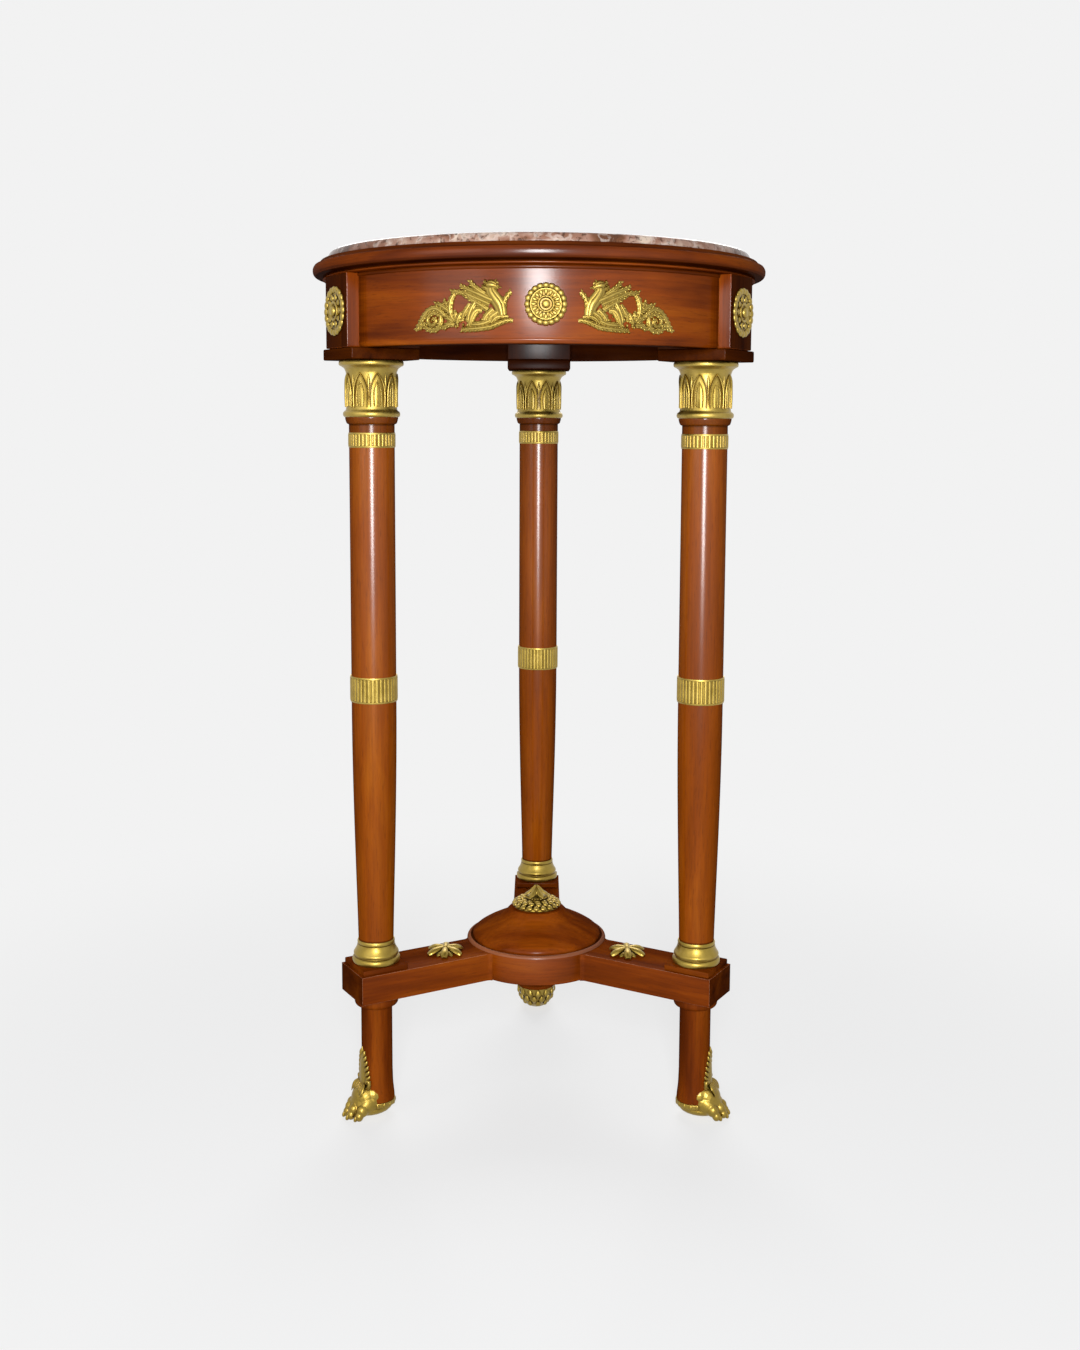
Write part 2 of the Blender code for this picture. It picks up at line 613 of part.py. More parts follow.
def griffin_outline():
    """Winged griffin beside a scroll, drawn in mount units from the middle of the flower."""
    scroll = [(113.5, -20.5), (110.5, -17), (105.5, -11), (102.5, -6.5), (97.5, -1.8), (92.5, 1), (86, 1)]
    wing = [(80, 4), (79.5, 11), (73, 10), (71, 15.2), (62.5, 12.3), (63, 19.3), (59.5, 17.6), (53.2, 11)]
    head = [(51.2, 18.2), (44.3, 18.2), (38.2, 16.4), (39, 10), (37, 3.7)]
    leaf = [(34.5, 2.5), (33.5, 6), (28.2, 10.4), (27.2, 8.5), (32, 1.3), (33, -4.7), (31.2, -9.5)]
    foot = [(26.4, -13.7), (34.5, -14.3), (42, -16.2), (47, -18), (56, -19.8), (62, -19.2), (67, -21)]
    tail = [(70, -19.8), (77, -17.4), (85, -19.2), (93, -21.6), (100, -21), (105, -18.6), (110, -20)]
    return scroll + wing + head + leaf + foot + tail


def make_griffin(name, mirror, along, material):
    """Cast griffin mount: flat outline cut into strips, then bent to the apron."""
    outline = [(mirror * far * MOUNT_UNIT, up * MOUNT_UNIT) for far, up in griffin_outline()]
    flat = prism(name, outline, 0.0, MOUNT_DEPTH, material)
    work = bmesh.new()
    work.from_mesh(flat.data)
    far = max(abs(x) for x, up in outline)
    near = min(abs(x) for x, up in outline)
    strips = max(2, math.ceil((far - near) / MOUNT_STRIP))
    for strip in range(1, strips):
        x = mirror * (near + (far - near) * strip / strips)
        every = list(work.verts) + list(work.edges) + list(work.faces)
        bmesh.ops.bisect_plane(work, geom=every, plane_co=(x, 0, 0), plane_no=(1, 0, 0), dist=1e-6)
    bmesh.ops.triangulate(work, faces=work.faces)
    work.to_mesh(flat.data)
    work.free()
    for vertex in flat.data.vertices:
        vertex.co = Vector((vertex.co.x, vertex.co.z, vertex.co.y))
    return wrap_on_apron(flat, along)


def make_rim(name, material):
    span = RIM_RADIUS - RIM_LIP_RADIUS
    rise = [(0.10, 0.0), (0.29, 0.04), (0.29, 0.13), (0.24, 0.17), (0.78, 0.21), (0.96, 0.33)]
    rise += [(1.0, 0.48), (0.98, 0.64), (0.88, 0.77), (0.70, 0.84), (0.46, 1.0), (0.0, 1.0)]
    profile = [(RIM_LIP_RADIUS + out * span, RIM_BOTTOM + up * RIM_HEIGHT) for out, up in rise]
    profile += [(RIM_LIP_RADIUS, RIM_BOTTOM + RIM_BED_HEIGHT), (RIM_INNER_RADIUS, RIM_BOTTOM + RIM_BED_HEIGHT)]
    profile.append((RIM_INNER_RADIUS, RIM_BOTTOM))
    return turned(name, profile, TOP_SIDES, material, ring=True)


def make_disc(name, radius, bottom, height, rounding, material):
    top = bottom + height
    profile = [(0.0, bottom), (radius, bottom)]
    if rounding > 0.0:
        profile += [(radius, top - rounding), (radius - 0.3 * rounding, top - 0.3 * rounding), (radius - rounding, top)]
    else:
        profile.append((radius, top))
    profile.append((0.0, top))
    return turned(name, profile, TOP_SIDES, material)


clear_scene()
mahogany = make_material("polished_mahogany", (0.20, 0.052, 0.010), 0.22, 0.0)
bronze = make_material("gilt_bronze", (0.62, 0.43, 0.10), 0.32, 1.0)
marble = make_material("brown_marble", (0.40, 0.22, 0.15), 0.18, 0.0)
carcase = make_material("plain_carcase_wood", (0.33, 0.20, 0.10), 0.60, 0.0)

# Base: feet, legs, arms and hub.
for side, degrees in COLUMN_ANGLES.items():
    paw = make_paw("paw_foot_" + side, bronze)
    if side == "right":
        turn_to(paw, RIGHT_PAW_TURN)
    finish(turn_to(move(paw, COLUMN_CIRCLE), degrees))
    finish(turn_to(move(make_leg("leg_" + side, mahogany), COLUMN_CIRCLE), degrees))
    finish(turn_to(make_arm("arm_" + side, mahogany), degrees))
    finish(turn_to(make_star("arm_star_" + side, bronze), degrees))
finish(make_hub("hub", mahogany))
finish(make_dome("hub_dome", mahogany))
finish(make_finial("dome_finial", bronze))
finish(make_drop("hub_drop", mahogany))
finish(make_boss("drop_boss", bronze))

# Columns from plinth to abacus.
for side, degrees in COLUMN_ANGLES.items():
    lower = LOWER_COLLAR_START - (REAR_COLLAR_DROP if side == "rear" else 0.0)
    starts = [(lower, LOWER_COLLAR_HEIGHT), (UPPER_COLLAR_START, UPPER_COLLAR_HEIGHT)]
    column = [
        make_square_plate("plinth_" + side, PLINTH_HALF, PLINTH_BOTTOM, PLINTH_HEIGHT, mahogany),
        make_base("column_base_" + side, bronze),
        make_shaft("column_shaft_" + side, mahogany, starts),
        make_collar("lower_collar_" + side, bronze, lower, LOWER_COLLAR_HEIGHT, LOWER_COLLAR_PROUD),
        make_collar("upper_collar_" + side, bronze, UPPER_COLLAR_START, UPPER_COLLAR_HEIGHT, UPPER_COLLAR_PROUD),
        make_capital("capital_" + side, bronze),
        make_square_plate("abacus_" + side, ABACUS_HALF, ABACUS_BOTTOM, ABACUS_HEIGHT, mahogany),
    ]
    for piece in column:
        finish(turn_to(move(piece, COLUMN_CIRCLE), degrees))

# Apron with its mounts.
for side, degrees in COLUMN_ANGLES.items():
    finish(turn_to(make_block("apron_block_" + side, mahogany), degrees))
    flower = make_rosette("block_rosette_" + side, BLOCK_ROSETTE_RADIUS, BLOCK_ROSETTE_DEPTH, bronze)
    move(turn_to(flower, -90.0), BLOCK_FACE + GAP, 0.0, APRON_MIDDLE)
    finish(turn_to(flower, degrees), 60.0)
for side, degrees in PANEL_ANGLES.items():
    shift = FRONT_MOUNT_SHIFT if side == "front" else 0.0
    finish(turn_to(make_panel("apron_panel_" + side, mahogany), degrees))
    flower = make_rosette("panel_rosette_" + side, ROSETTE_RADIUS, ROSETTE_DEPTH, bronze)
    finish(turn_to(wrap_on_apron(flower, shift), degrees), 60.0)
    finish(turn_to(make_griffin("griffin_east_" + side, 1, shift, bronze), degrees))
    finish(turn_to(make_griffin("griffin_west_" + side, -1, shift, bronze), degrees))

# Top.
finish(make_rim("top_rim", mahogany))
finish(make_disc("sub_top", RIM_INNER_RADIUS - GAP, RIM_BOTTOM, RIM_BED_HEIGHT, 0.0, carcase))
finish(make_disc("marble_top", MARBLE_RADIUS, MARBLE_BOTTOM, MARBLE_HEIGHT, 0.18 * MARBLE_HEIGHT, marble))
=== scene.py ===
import math

import bmesh
import bpy
import numpy as np
from mathutils import Matrix
from mathutils import Vector


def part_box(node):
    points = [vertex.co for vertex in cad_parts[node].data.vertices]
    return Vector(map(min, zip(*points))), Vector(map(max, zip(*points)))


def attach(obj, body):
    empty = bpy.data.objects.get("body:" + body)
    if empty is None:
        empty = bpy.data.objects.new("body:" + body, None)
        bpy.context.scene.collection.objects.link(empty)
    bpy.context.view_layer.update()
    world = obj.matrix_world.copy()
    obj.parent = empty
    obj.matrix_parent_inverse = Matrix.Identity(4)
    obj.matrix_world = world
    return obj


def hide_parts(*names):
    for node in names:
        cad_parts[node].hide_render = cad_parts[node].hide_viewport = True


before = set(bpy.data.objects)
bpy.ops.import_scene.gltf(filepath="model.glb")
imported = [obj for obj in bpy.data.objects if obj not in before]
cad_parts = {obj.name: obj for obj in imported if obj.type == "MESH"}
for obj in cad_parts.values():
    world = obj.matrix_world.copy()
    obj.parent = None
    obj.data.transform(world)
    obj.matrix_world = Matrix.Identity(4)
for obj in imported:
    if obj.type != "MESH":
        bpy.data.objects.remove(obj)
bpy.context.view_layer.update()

scene = bpy.context.scene
scene.view_settings.view_transform = "Standard"


# Studio. One camera at table height, a pale paper floor, a tall soft box behind the camera, a weaker
# wide one to its left and one behind the table for its back and top. The tall box stands on the
# camera's own line, so each turned column carries a bright line and falls dark towards its edges.
PAPER = "#F2F2F2"
EYE = Vector((0.0021, -1.4336, 0.6475))
EYE_PITCH = math.radians(6.5968)
EYE_ROLL = math.radians(0.2496)


def linear(code):
    """Turn an sRGB hex colour into the linear colour that a shader socket takes."""
    parts = [int(code[start:start + 2], 16) / 255 for start in (1, 3, 5)]
    return [part / 12.92 if part <= 0.04045 else ((part + 0.055) / 1.055) ** 2.4 for part in parts] + [1.0]


def add_node(tree, kind, inputs=None, stops=(), **settings):
    """Add one node with its settings; an input is a value, or the socket or node that feeds it.

    The stops are the places and hex colours of a ramp: its first, its last, then those between.
    """
    made = tree.nodes.new(kind)
    for name, value in settings.items():
        setattr(made, name, value)
    for number, (place, code) in enumerate(stops):
        stop = made.color_ramp.elements[number] if number < 2 else made.color_ramp.elements.new(place)
        stop.position = place
        stop.color = linear(code)
    for name, value in (inputs or {}).items():
        if isinstance(value, bpy.types.Node):
            value = value.outputs[0]
        if isinstance(value, bpy.types.NodeSocket):
            tree.links.new(value, made.inputs[name])
        else:
            made.inputs[name].default_value = value
    return made


camera_data = bpy.data.cameras.new("studio_camera")
camera_data.sensor_width = 36.0
camera_data.lens = 40.07
camera_data.shift_y = -0.0612
camera = bpy.data.objects.new("studio_camera", camera_data)
scene.collection.objects.link(camera)
sight = Vector((0.0, math.cos(EYE_PITCH), -math.sin(EYE_PITCH)))
upward = Vector((0.0, math.sin(EYE_PITCH), math.cos(EYE_PITCH)))
level = Vector((1.0, 0.0, 0.0))
eye_x = level * math.cos(EYE_ROLL) + upward * math.sin(EYE_ROLL)
eye_y = upward * math.cos(EYE_ROLL) - level * math.sin(EYE_ROLL)
camera.matrix_world = Matrix.Translation(EYE) @ Matrix((eye_x, eye_y, -sight)).transposed().to_4x4()
scene.camera = camera

# The wall and the floor are white paper to the eye and in mirrors. To all other light the room is dim
# and the floor is plain grey paper, which keeps the table's shadow.
world = bpy.data.worlds.new("pale_room")
world.use_nodes = True
scene.world = world
world_tree = world.node_tree
paper = bpy.data.materials.new("pale_paper_floor")
paper.use_nodes = True
paper_tree = paper.node_tree
seen = []
for tree in (world_tree, paper_tree):
    tree.nodes.clear()
    rays = add_node(tree, "ShaderNodeLightPath")
    mirrored = add_node(tree, "ShaderNodeMath",
                        {0: rays.outputs["Is Camera Ray"], 1: rays.outputs["Is Glossy Ray"]},
                        operation="MAXIMUM")
    seen.append(add_node(tree, "ShaderNodeMath", {0: mirrored, 1: rays.outputs["Is Transmission Ray"]},
                         operation="MAXIMUM"))
world_seen, paper_seen = seen
room_light = add_node(world_tree, "ShaderNodeBackground", {"Color": linear("#DDE3EC"), "Strength": 0.06})
paper_wall = add_node(world_tree, "ShaderNodeBackground", {"Color": linear(PAPER), "Strength": 1.0})
room = add_node(world_tree, "ShaderNodeMixShader", {0: world_seen, 1: room_light, 2: paper_wall})
add_node(world_tree, "ShaderNodeOutputWorld", {"Surface": room})

paper_place = add_node(paper_tree, "ShaderNodeTexCoord")
paper_far = add_node(paper_tree, "ShaderNodeVectorMath", {0: paper_place.outputs["Object"]},
                     operation="LENGTH")
paper_fade = add_node(paper_tree, "ShaderNodeMapRange",
                      {"Value": paper_far.outputs["Value"], "From Min": 0.30, "From Max": 0.95},
                      interpolation_type="SMOOTHSTEP")
paper_matt = add_node(paper_tree, "ShaderNodeBsdfDiffuse", {"Color": linear("#909090")})
paper_glow = add_node(paper_tree, "ShaderNodeEmission", {"Color": linear(PAPER), "Strength": 0.76})
paper_thin = add_node(paper_tree, "ShaderNodeBsdfDiffuse", {"Color": linear("#8C8C8C")})
paper_near = add_node(paper_tree, "ShaderNodeAddShader", {0: paper_glow, 1: paper_thin})
paper_even = add_node(paper_tree, "ShaderNodeEmission", {"Color": linear(PAPER), "Strength": 1.0})
paper_view = add_node(paper_tree, "ShaderNodeMixShader", {0: paper_fade, 1: paper_near, 2: paper_even})
paper_all = add_node(paper_tree, "ShaderNodeMixShader", {0: paper_seen, 1: paper_matt, 2: paper_view})
add_node(paper_tree, "ShaderNodeOutputMaterial", {"Surface": paper_all})
floor_mesh = bpy.data.meshes.new("paper_floor")
floor_mesh.from_pydata([(-6, -6, 0), (6, -6, 0), (6, 6, 0), (-6, 6, 0)], [], [(0, 1, 2, 3)])
floor_mesh.materials.append(paper)
floor = bpy.data.objects.new("paper_floor", floor_mesh)
scene.collection.objects.link(floor)

for name, place, aim, width, height, power, tint in (
        ("tall_soft_box", (0.0, -1.95, 0.82), (0.0, 0.0, 0.76), 0.38, 0.92, 40.0, (0.96, 0.98, 1.0)),
        ("left_soft_box", (-1.40, -1.50, 1.15), (0.0, 0.0, 0.50), 1.20, 1.20, 7.0, (1.0, 0.98, 0.95)),
        ("rear_soft_box", (0.0, 1.75, 1.75), (0.0, 0.0, 0.55), 1.40, 1.10, 26.0, (1.0, 1.0, 1.0))):
    box_data = bpy.data.lights.new(name, "AREA")
    box_data.shape = "RECTANGLE"
    box_data.size = width
    box_data.size_y = height
    box_data.energy = power
    box_data.color = tint
    soft_box = bpy.data.objects.new(name, box_data)
    soft_box.location = place
    soft_box.rotation_euler = (Vector(aim) - soft_box.location).to_track_quat("-Z", "Y").to_euler()
    scene.collection.objects.link(soft_box)


# Hub. The round middle of the base, turned from solid mahogany and French polished.
# Its upper edge is rolled over, a narrow groove runs round the top where the dome is let in, and
# the three arms are tongued into its side.
HUB_EASE = 0.0012
HUB_ROLL = 0.0032
ROLL_WIDTH = 0.0043
ROLL_HIGHLIGHT = -0.32
GROOVE_DEPTH = 0.0016
GROOVE_SHADE = 0.95


def smooth_run(points, steps=6):
    """Points along a soft curve that passes through the given points."""
    held = [np.array(point, float) for point in points]
    held = [2 * held[0] - held[1]] + held + [2 * held[-1] - held[-2]]
    line = []
    for index in range(1, len(held) - 2):
        before, start, end, after = held[index - 1:index + 3]
        for step in range(steps):
            t = step / steps
            curve = 2 * start + (end - before) * t + (2 * before - 5 * start + 4 * end - after) * t * t
            curve = curve + (3 * start - before - 3 * end + after) * t ** 3
            line.append(curve / 2)
    line.append(held[-2])
    return line


def moulding(start, *runs):
    """Line of (radius, height) on from a start; a run of one point is straight, a longer one curves."""
    line = [start]
    for run in runs:
        for point in (run if len(run) == 1 else smooth_run([line[-1]] + run)):
            if np.linalg.norm(np.array(point) - np.array(line[-1])) > 1e-6:
                line.append(point)
    return [(float(radius), float(height)) for radius, height in line]


def turned(profile, sides=64, ring=False):
    """Turn a (radius, height) line round the upright axis; returns points and faces."""
    points = []
    rows = []
    for radius, height in profile:
        if radius < 1e-7:
            rows.append([len(points)])
            points.append((0.0, 0.0, height))
            continue
        rows.append(range(len(points), len(points) + sides))
        for side in range(sides):
            angle = 2 * math.pi * side / sides
            points.append((radius * math.cos(angle), radius * math.sin(angle), height))
    faces = []
    pairs = list(zip(rows, rows[1:]))
    if ring:
        pairs.append((rows[-1], rows[0]))
    for low, high in pairs:
        for side in range(sides):
            after = (side + 1) % sides
            if len(low) == 1:
                faces.append((low[0], high[side], high[after]))
            elif len(high) == 1:
                faces.append((low[side], low[after], high[0]))
            else:
                faces.append((low[side], low[after], high[after], high[side]))
    return np.array(points), faces


def turn(shape, degrees):
    """Turn a shape round the table's axis."""
    angle = math.radians(degrees)
    spin = np.array([(math.cos(angle), -math.sin(angle), 0),
                     (math.sin(angle), math.cos(angle), 0),
                     (0, 0, 1)])
    return shape[0] @ spin.T, shape[1]


def round_grain(shape, radius):
    """Places in the wood for grain that runs round a turned piece."""
    around = np.arctan2(shape[0][:, 1], shape[0][:, 0]) * radius
    return np.stack([around, shape[0][:, 2], np.hypot(shape[0][:, 0], shape[0][:, 1])], 1)


def shift(shape, x=0.0, y=0.0, z=0.0):
    """Move a shape."""
    return shape[0] + np.array((x, y, z)), shape[1]


def publish(name, shape, material, slot, replaced, grain=None, sharp=32.0, ends=None):
    """Make one finished piece at the origin, let it ride on the table and stand for its solids.

    The grain places the figure of the wood at each point, and the last argument gives each face its
    end_grain_and_painted_light value, which darkens end grain and paints shade, and below nought paints a
    pale highlight.
    """
    mesh = bpy.data.meshes.new(name)
    mesh.from_pydata(shape[0].tolist(), [], shape[1])
    if grain is not None:
        kept = mesh.attributes.new("grain", "FLOAT_VECTOR", "POINT")
        kept.data.foreach_set("vector", np.ascontiguousarray(grain, np.float32).ravel())
    if ends is not None:
        mesh.attributes.new("end_grain_and_painted_light", "FLOAT", "FACE").data.foreach_set("value", ends)
    work = bmesh.new()
    work.from_mesh(mesh)
    bmesh.ops.recalc_face_normals(work, faces=work.faces)
    work.to_mesh(mesh)
    work.free()
    mesh.shade_smooth()
    mesh.set_sharp_from_angle(angle=math.radians(sharp))
    mesh.materials.append(material)
    piece = bpy.data.objects.new(name, mesh)
    scene.collection.objects.link(piece)
    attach(piece, "root")
    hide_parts(*replaced)


# Polished mahogany: red-brown heartwood with a soft ribbon figure about 25 mm wide, darker growth
# lines, and short open pores that still show under the shellac. The polish soaks in, so only its own
# thin skin mirrors the light, least at a slant and near the floor, where it is worn. A face's
# end_grain_and_painted_light value makes it darker and duller. On the arms' ends this is true end grain; in
# most other places it is painted shade. Below nought it mixes in a pale colour, a painted highlight on an
# arris.
def polished_mahogany(name, dark, middle, light, gloss, skin_rough=0.22, floor_gloss=0.35):
    """Mahogany under shellac; the three colours are those of its ribbon figure."""
    material = bpy.data.materials.new(name)
    material.use_nodes = True
    wood = material.node_tree
    shader = wood.nodes["Principled BSDF"]
    grain = add_node(wood, "ShaderNodeAttribute", attribute_name="grain").outputs["Vector"]
    end_grain_and_painted_light = add_node(wood, "ShaderNodeAttribute", attribute_name="end_grain_and_painted_light").outputs["Fac"]
    figure_size = add_node(wood, "ShaderNodeMapping",
                           {"Vector": grain, "Scale": (1 / 0.19, 1 / 0.025, 1 / 0.025)})
    figure = add_node(wood, "ShaderNodeTexNoise",
                      {"Vector": figure_size, "Scale": 1.0, "Detail": 3.0, "Roughness": 0.55,
                       "Distortion": 0.5})
    line_size = add_node(wood, "ShaderNodeMapping",
                         {"Vector": grain, "Scale": (1 / 0.07, 1 / 0.0022, 1 / 0.0022)})
    lines = add_node(wood, "ShaderNodeTexNoise", {"Vector": line_size, "Scale": 1.0, "Detail": 2.0})
    pore_size = add_node(wood, "ShaderNodeMapping",
                         {"Vector": grain, "Scale": (1 / 0.011, 1 / 0.0008, 1 / 0.0008)})
    pores = add_node(wood, "ShaderNodeTexNoise", {"Vector": pore_size, "Scale": 1.0, "Detail": 1.0})
    pore_mask = add_node(wood, "ShaderNodeMapRange",
                         {"Value": pores, "From Min": 0.60, "From Max": 0.72, "To Max": 0.30})
    figure_tone = add_node(wood, "ShaderNodeValToRGB", {"Fac": figure},
                           stops=((0.30, dark), (0.72, light), (0.52, middle)))
    line_tone = add_node(wood, "ShaderNodeMapRange",
                         {"Value": lines, "From Min": 0.35, "From Max": 0.65, "To Min": 0.87,
                          "To Max": 1.05})
    # Painted shade: an end_grain_and_painted_light value above nought darkens the colour; on the arms' ends
    # it is also true end grain.
    grain_and_shade_tone = add_node(wood, "ShaderNodeMapRange", {"Value": end_grain_and_painted_light, "To Min": 1.0, "To Max": 0.26})
    depth = add_node(wood, "ShaderNodeMath", {0: line_tone, 1: grain_and_shade_tone}, operation="MULTIPLY")
    toned = add_node(wood, "ShaderNodeVectorMath", {0: figure_tone, "Scale": depth}, operation="SCALE")
    # Painted highlight: an end_grain_and_painted_light value below nought mixes a pale colour into the wood.
    arris_highlight_mix = add_node(wood, "ShaderNodeMapRange", {"Value": end_grain_and_painted_light, "From Min": 0.0, "From Max": -1.0})
    arrises = add_node(wood, "ShaderNodeMix", {"Factor": arris_highlight_mix, 6: toned, 7: linear("#B88468")},
                       data_type="RGBA")
    colour = add_node(wood, "ShaderNodeMix",
                      {"Factor": pore_mask, 6: arrises.outputs[2], 7: linear("#3A1405")},
                      data_type="RGBA")
    polish = add_node(wood, "ShaderNodeMapRange", {"Value": figure, "To Min": 0.26, "To Max": 0.34})
    pore_bump = add_node(wood, "ShaderNodeBump", {"Height": pores, "Strength": 0.05, "Distance": 0.0003})
    wood.links.new(colour.outputs[2], shader.inputs["Base Color"])
    wood.links.new(polish.outputs[0], shader.inputs["Roughness"])
    wood.links.new(pore_bump.outputs[0], shader.inputs["Normal"])
    slant = add_node(wood, "ShaderNodeLayerWeight", {"Blend": 0.9})
    skin = add_node(wood, "ShaderNodeMapRange",
                    {"Value": slant.outputs["Facing"], "From Min": 0.05, "From Max": 1.0, "To Min": gloss,
                     "To Max": 0.06 * gloss})
    place = add_node(wood, "ShaderNodeTexCoord")
    height = add_node(wood, "ShaderNodeSeparateXYZ", {0: place.outputs["Object"]})
    worn = add_node(wood, "ShaderNodeMapRange",
                    {"Value": height.outputs["Z"], "From Min": 0.30, "From Max": 0.52,
                     "To Min": floor_gloss, "To Max": 1.0}, interpolation_type="SMOOTHSTEP")
    kept = add_node(wood, "ShaderNodeMath", {0: skin, 1: worn}, operation="MULTIPLY")
    clean = add_node(wood, "ShaderNodeMapRange", {"Value": end_grain_and_painted_light, "To Min": 1.0, "To Max": 0.35})
    kept = add_node(wood, "ShaderNodeMath", {0: kept, 1: clean}, operation="MULTIPLY")
    wood.links.new(kept.outputs[0], shader.inputs["Coat Weight"])
    shader.inputs["IOR"].default_value = 1.5
    shader.inputs["Specular IOR Level"].default_value = 0.0
    shader.inputs["Coat Roughness"].default_value = skin_rough
    return material


mahogany = polished_mahogany("french_polished_mahogany", "#5A2204", "#853A06", "#9E4D0A", gloss=0.80)
base_mahogany = polished_mahogany("rubbed_down_mahogany", "#562004", "#7E3606", "#9A4A0B", gloss=0.66)
hub_mahogany = polished_mahogany("polished_hub_mahogany", "#5E2605", "#883C07", "#A2500C", gloss=0.66,
                                 skin_rough=0.26, floor_gloss=1.0)

hub_low, hub_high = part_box("hub")
hub_radius = hub_high.x
hub_top = hub_high.z
hub_line = moulding(
    (0.0, hub_low.z), [(hub_radius - HUB_EASE, hub_low.z)],
    [(hub_radius - 0.3 * HUB_EASE, hub_low.z + 0.3 * HUB_EASE), (hub_radius, hub_low.z + HUB_EASE)],
    [(hub_radius, hub_top - HUB_ROLL)],
    [(hub_radius - 0.10 * HUB_ROLL, hub_top - 0.55 * HUB_ROLL),
     (hub_radius - 0.45 * HUB_ROLL, hub_top - 0.14 * HUB_ROLL), (hub_radius - HUB_ROLL, hub_top)],
    [(hub_radius - 0.0044, hub_top - 0.0004)], [(hub_radius - 0.0049, hub_top - GROOVE_DEPTH)],
    [(0.0, hub_top - GROOVE_DEPTH)])
hub = turned(hub_line, 96)
hub_grain = round_grain(hub, hub_radius)
# Painted light: the rolled edge gets a pale painted highlight and the groove a dark painted shade, through
# the end_grain_and_painted_light values.
hub_ends = []
for face in hub[1]:
    lowest = hub[0][list(face), 2].min()
    nearest = hub_grain[list(face), 2].min()
    on_roll = lowest > hub_top - 0.8 * HUB_ROLL and nearest > hub_radius - ROLL_WIDTH
    in_groove = lowest > hub_top - GROOVE_DEPTH - 0.0002 and nearest < hub_radius - ROLL_WIDTH
    hub_ends.append(ROLL_HIGHLIGHT if on_roll else GROOVE_SHADE if in_groove else 0.0)
publish("hub_turning", hub, hub_mahogany, "mahogany", ["hub"], hub_grain, ends=hub_ends)


# Dome. A low mahogany ogee turned in one piece, let into the hub's top and held by a spigot.
# It swells from the groove, then sweeps up in a hollow to the seat of the bronze finial.
FIT = 0.0003
dome_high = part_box("hub_dome")[1]
dome_radius = dome_high.x
dome_seat = hub_top + FIT
dome_rise = dome_high.z - dome_seat
dome_line = moulding(
    (0.0, dome_seat - 0.0014), [(0.992 * dome_radius, dome_seat - 0.0014)],
    [(0.999 * dome_radius, dome_seat + 0.0006), (0.985 * dome_radius, dome_seat + 0.10 * dome_rise),
     (0.945 * dome_radius, dome_seat + 0.20 * dome_rise),
     (0.84 * dome_radius, dome_seat + 0.36 * dome_rise),
     (0.70 * dome_radius, dome_seat + 0.53 * dome_rise),
     (0.58 * dome_radius, dome_seat + 0.66 * dome_rise),
     (0.50 * dome_radius, dome_seat + 0.79 * dome_rise),
     (0.445 * dome_radius, dome_seat + 0.92 * dome_rise), (0.41 * dome_radius, dome_high.z)],
    [(0.0, dome_high.z)])
dome = turned(dome_line, 96)
publish("dome_turning", dome, base_mahogany, "mahogany", ["hub_dome"], dome[0] + 0.31)


# Drop. A turned mahogany pendant under the hub, hollowed on its side like an inverted bell, so that
# little more than its stem shows past the hub. A spigot holds it, and its flat end carries the boss.
def stretched(shape, x=1.0, y=1.0, z=1.0):
    """Stretch a shape along its axes."""
    return shape[0] * np.array((x, y, z)), shape[1]


drop_low, drop_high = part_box("hub_drop")
drop_radius = drop_high.x
drop_seat = hub_low.z - FIT
drop_fall = drop_seat - drop_low.z
drop_line = moulding(
    (0.0, 0.0), [(0.0172, 0.0)],
    [(0.0178, 0.08), (0.0200, 0.23), (0.0260, 0.38), (0.0350, 0.53), (0.0460, 0.71), (0.0545, 0.88),
     (0.99 * drop_radius, 1.0)], [(0.0, 1.0)])

drop = shift(stretched(turned(drop_line, 80), z=drop_fall), z=drop_low.z)
publish("drop_turning", drop, base_mahogany, "mahogany", ["hub_drop"], drop[0] + 0.57)


# Arms. Three square-edged mahogany bars that run out from the hub, one to each column.
# Each is scribed to the round of the hub and sweeps out a little to meet it. The grain runs along the
# arm, and the arrises are eased by hand; a pale colour on them is a painted highlight, and the end
# faces are darker for end grain and for painted shade.
ARM_EASE = 0.0020
ARM_SWEEP = 0.0060
END_GRAIN_AND_SHADE = 0.66
ARRIS_HIGHLIGHT = -1.0
SIDES = {"left": 210.0, "right": 330.0, "rear": 90.0}


def shape_of(mesh):
    """Points and faces of a mesh."""
    points = np.zeros(len(mesh.vertices) * 3)
    mesh.vertices.foreach_get("co", points)
    return points.reshape(-1, 3), [tuple(face.vertices) for face in mesh.polygons]


def prism(outline, low, high):
    """Upright solid over a plan outline."""
    count = len(outline)
    points = [(x, y, low) for x, y in outline] + [(x, y, high) for x, y in outline]
    faces = [tuple(range(count)), tuple(range(count, 2 * count))]
    for index in range(count):
        after = (index + 1) % count
        faces.append((index, after, count + after, count + index))
    return np.array(points), faces


def eased(shape, width):
    """Round the arrises of a shape."""
    mesh = bpy.data.meshes.new("blank")
    mesh.from_pydata(shape[0].tolist(), [], shape[1])
    work = bmesh.new()
    work.from_mesh(mesh)
    bmesh.ops.recalc_face_normals(work, faces=work.faces)
    work.to_mesh(mesh)
    work.free()
    blank = bpy.data.objects.new("blank", mesh)
    scene.collection.objects.link(blank)
    plane = blank.modifiers.new("ease", "BEVEL")
    plane.width = width
    plane.segments = 3
    plane.limit_method = "ANGLE"
    plane.angle_limit = math.radians(40)
    made = bpy.data.meshes.new_from_object(blank.evaluated_get(bpy.context.evaluated_depsgraph_get()))
    blank.modifiers.remove(plane)
    bpy.data.objects.remove(blank)
    return shape_of(made)


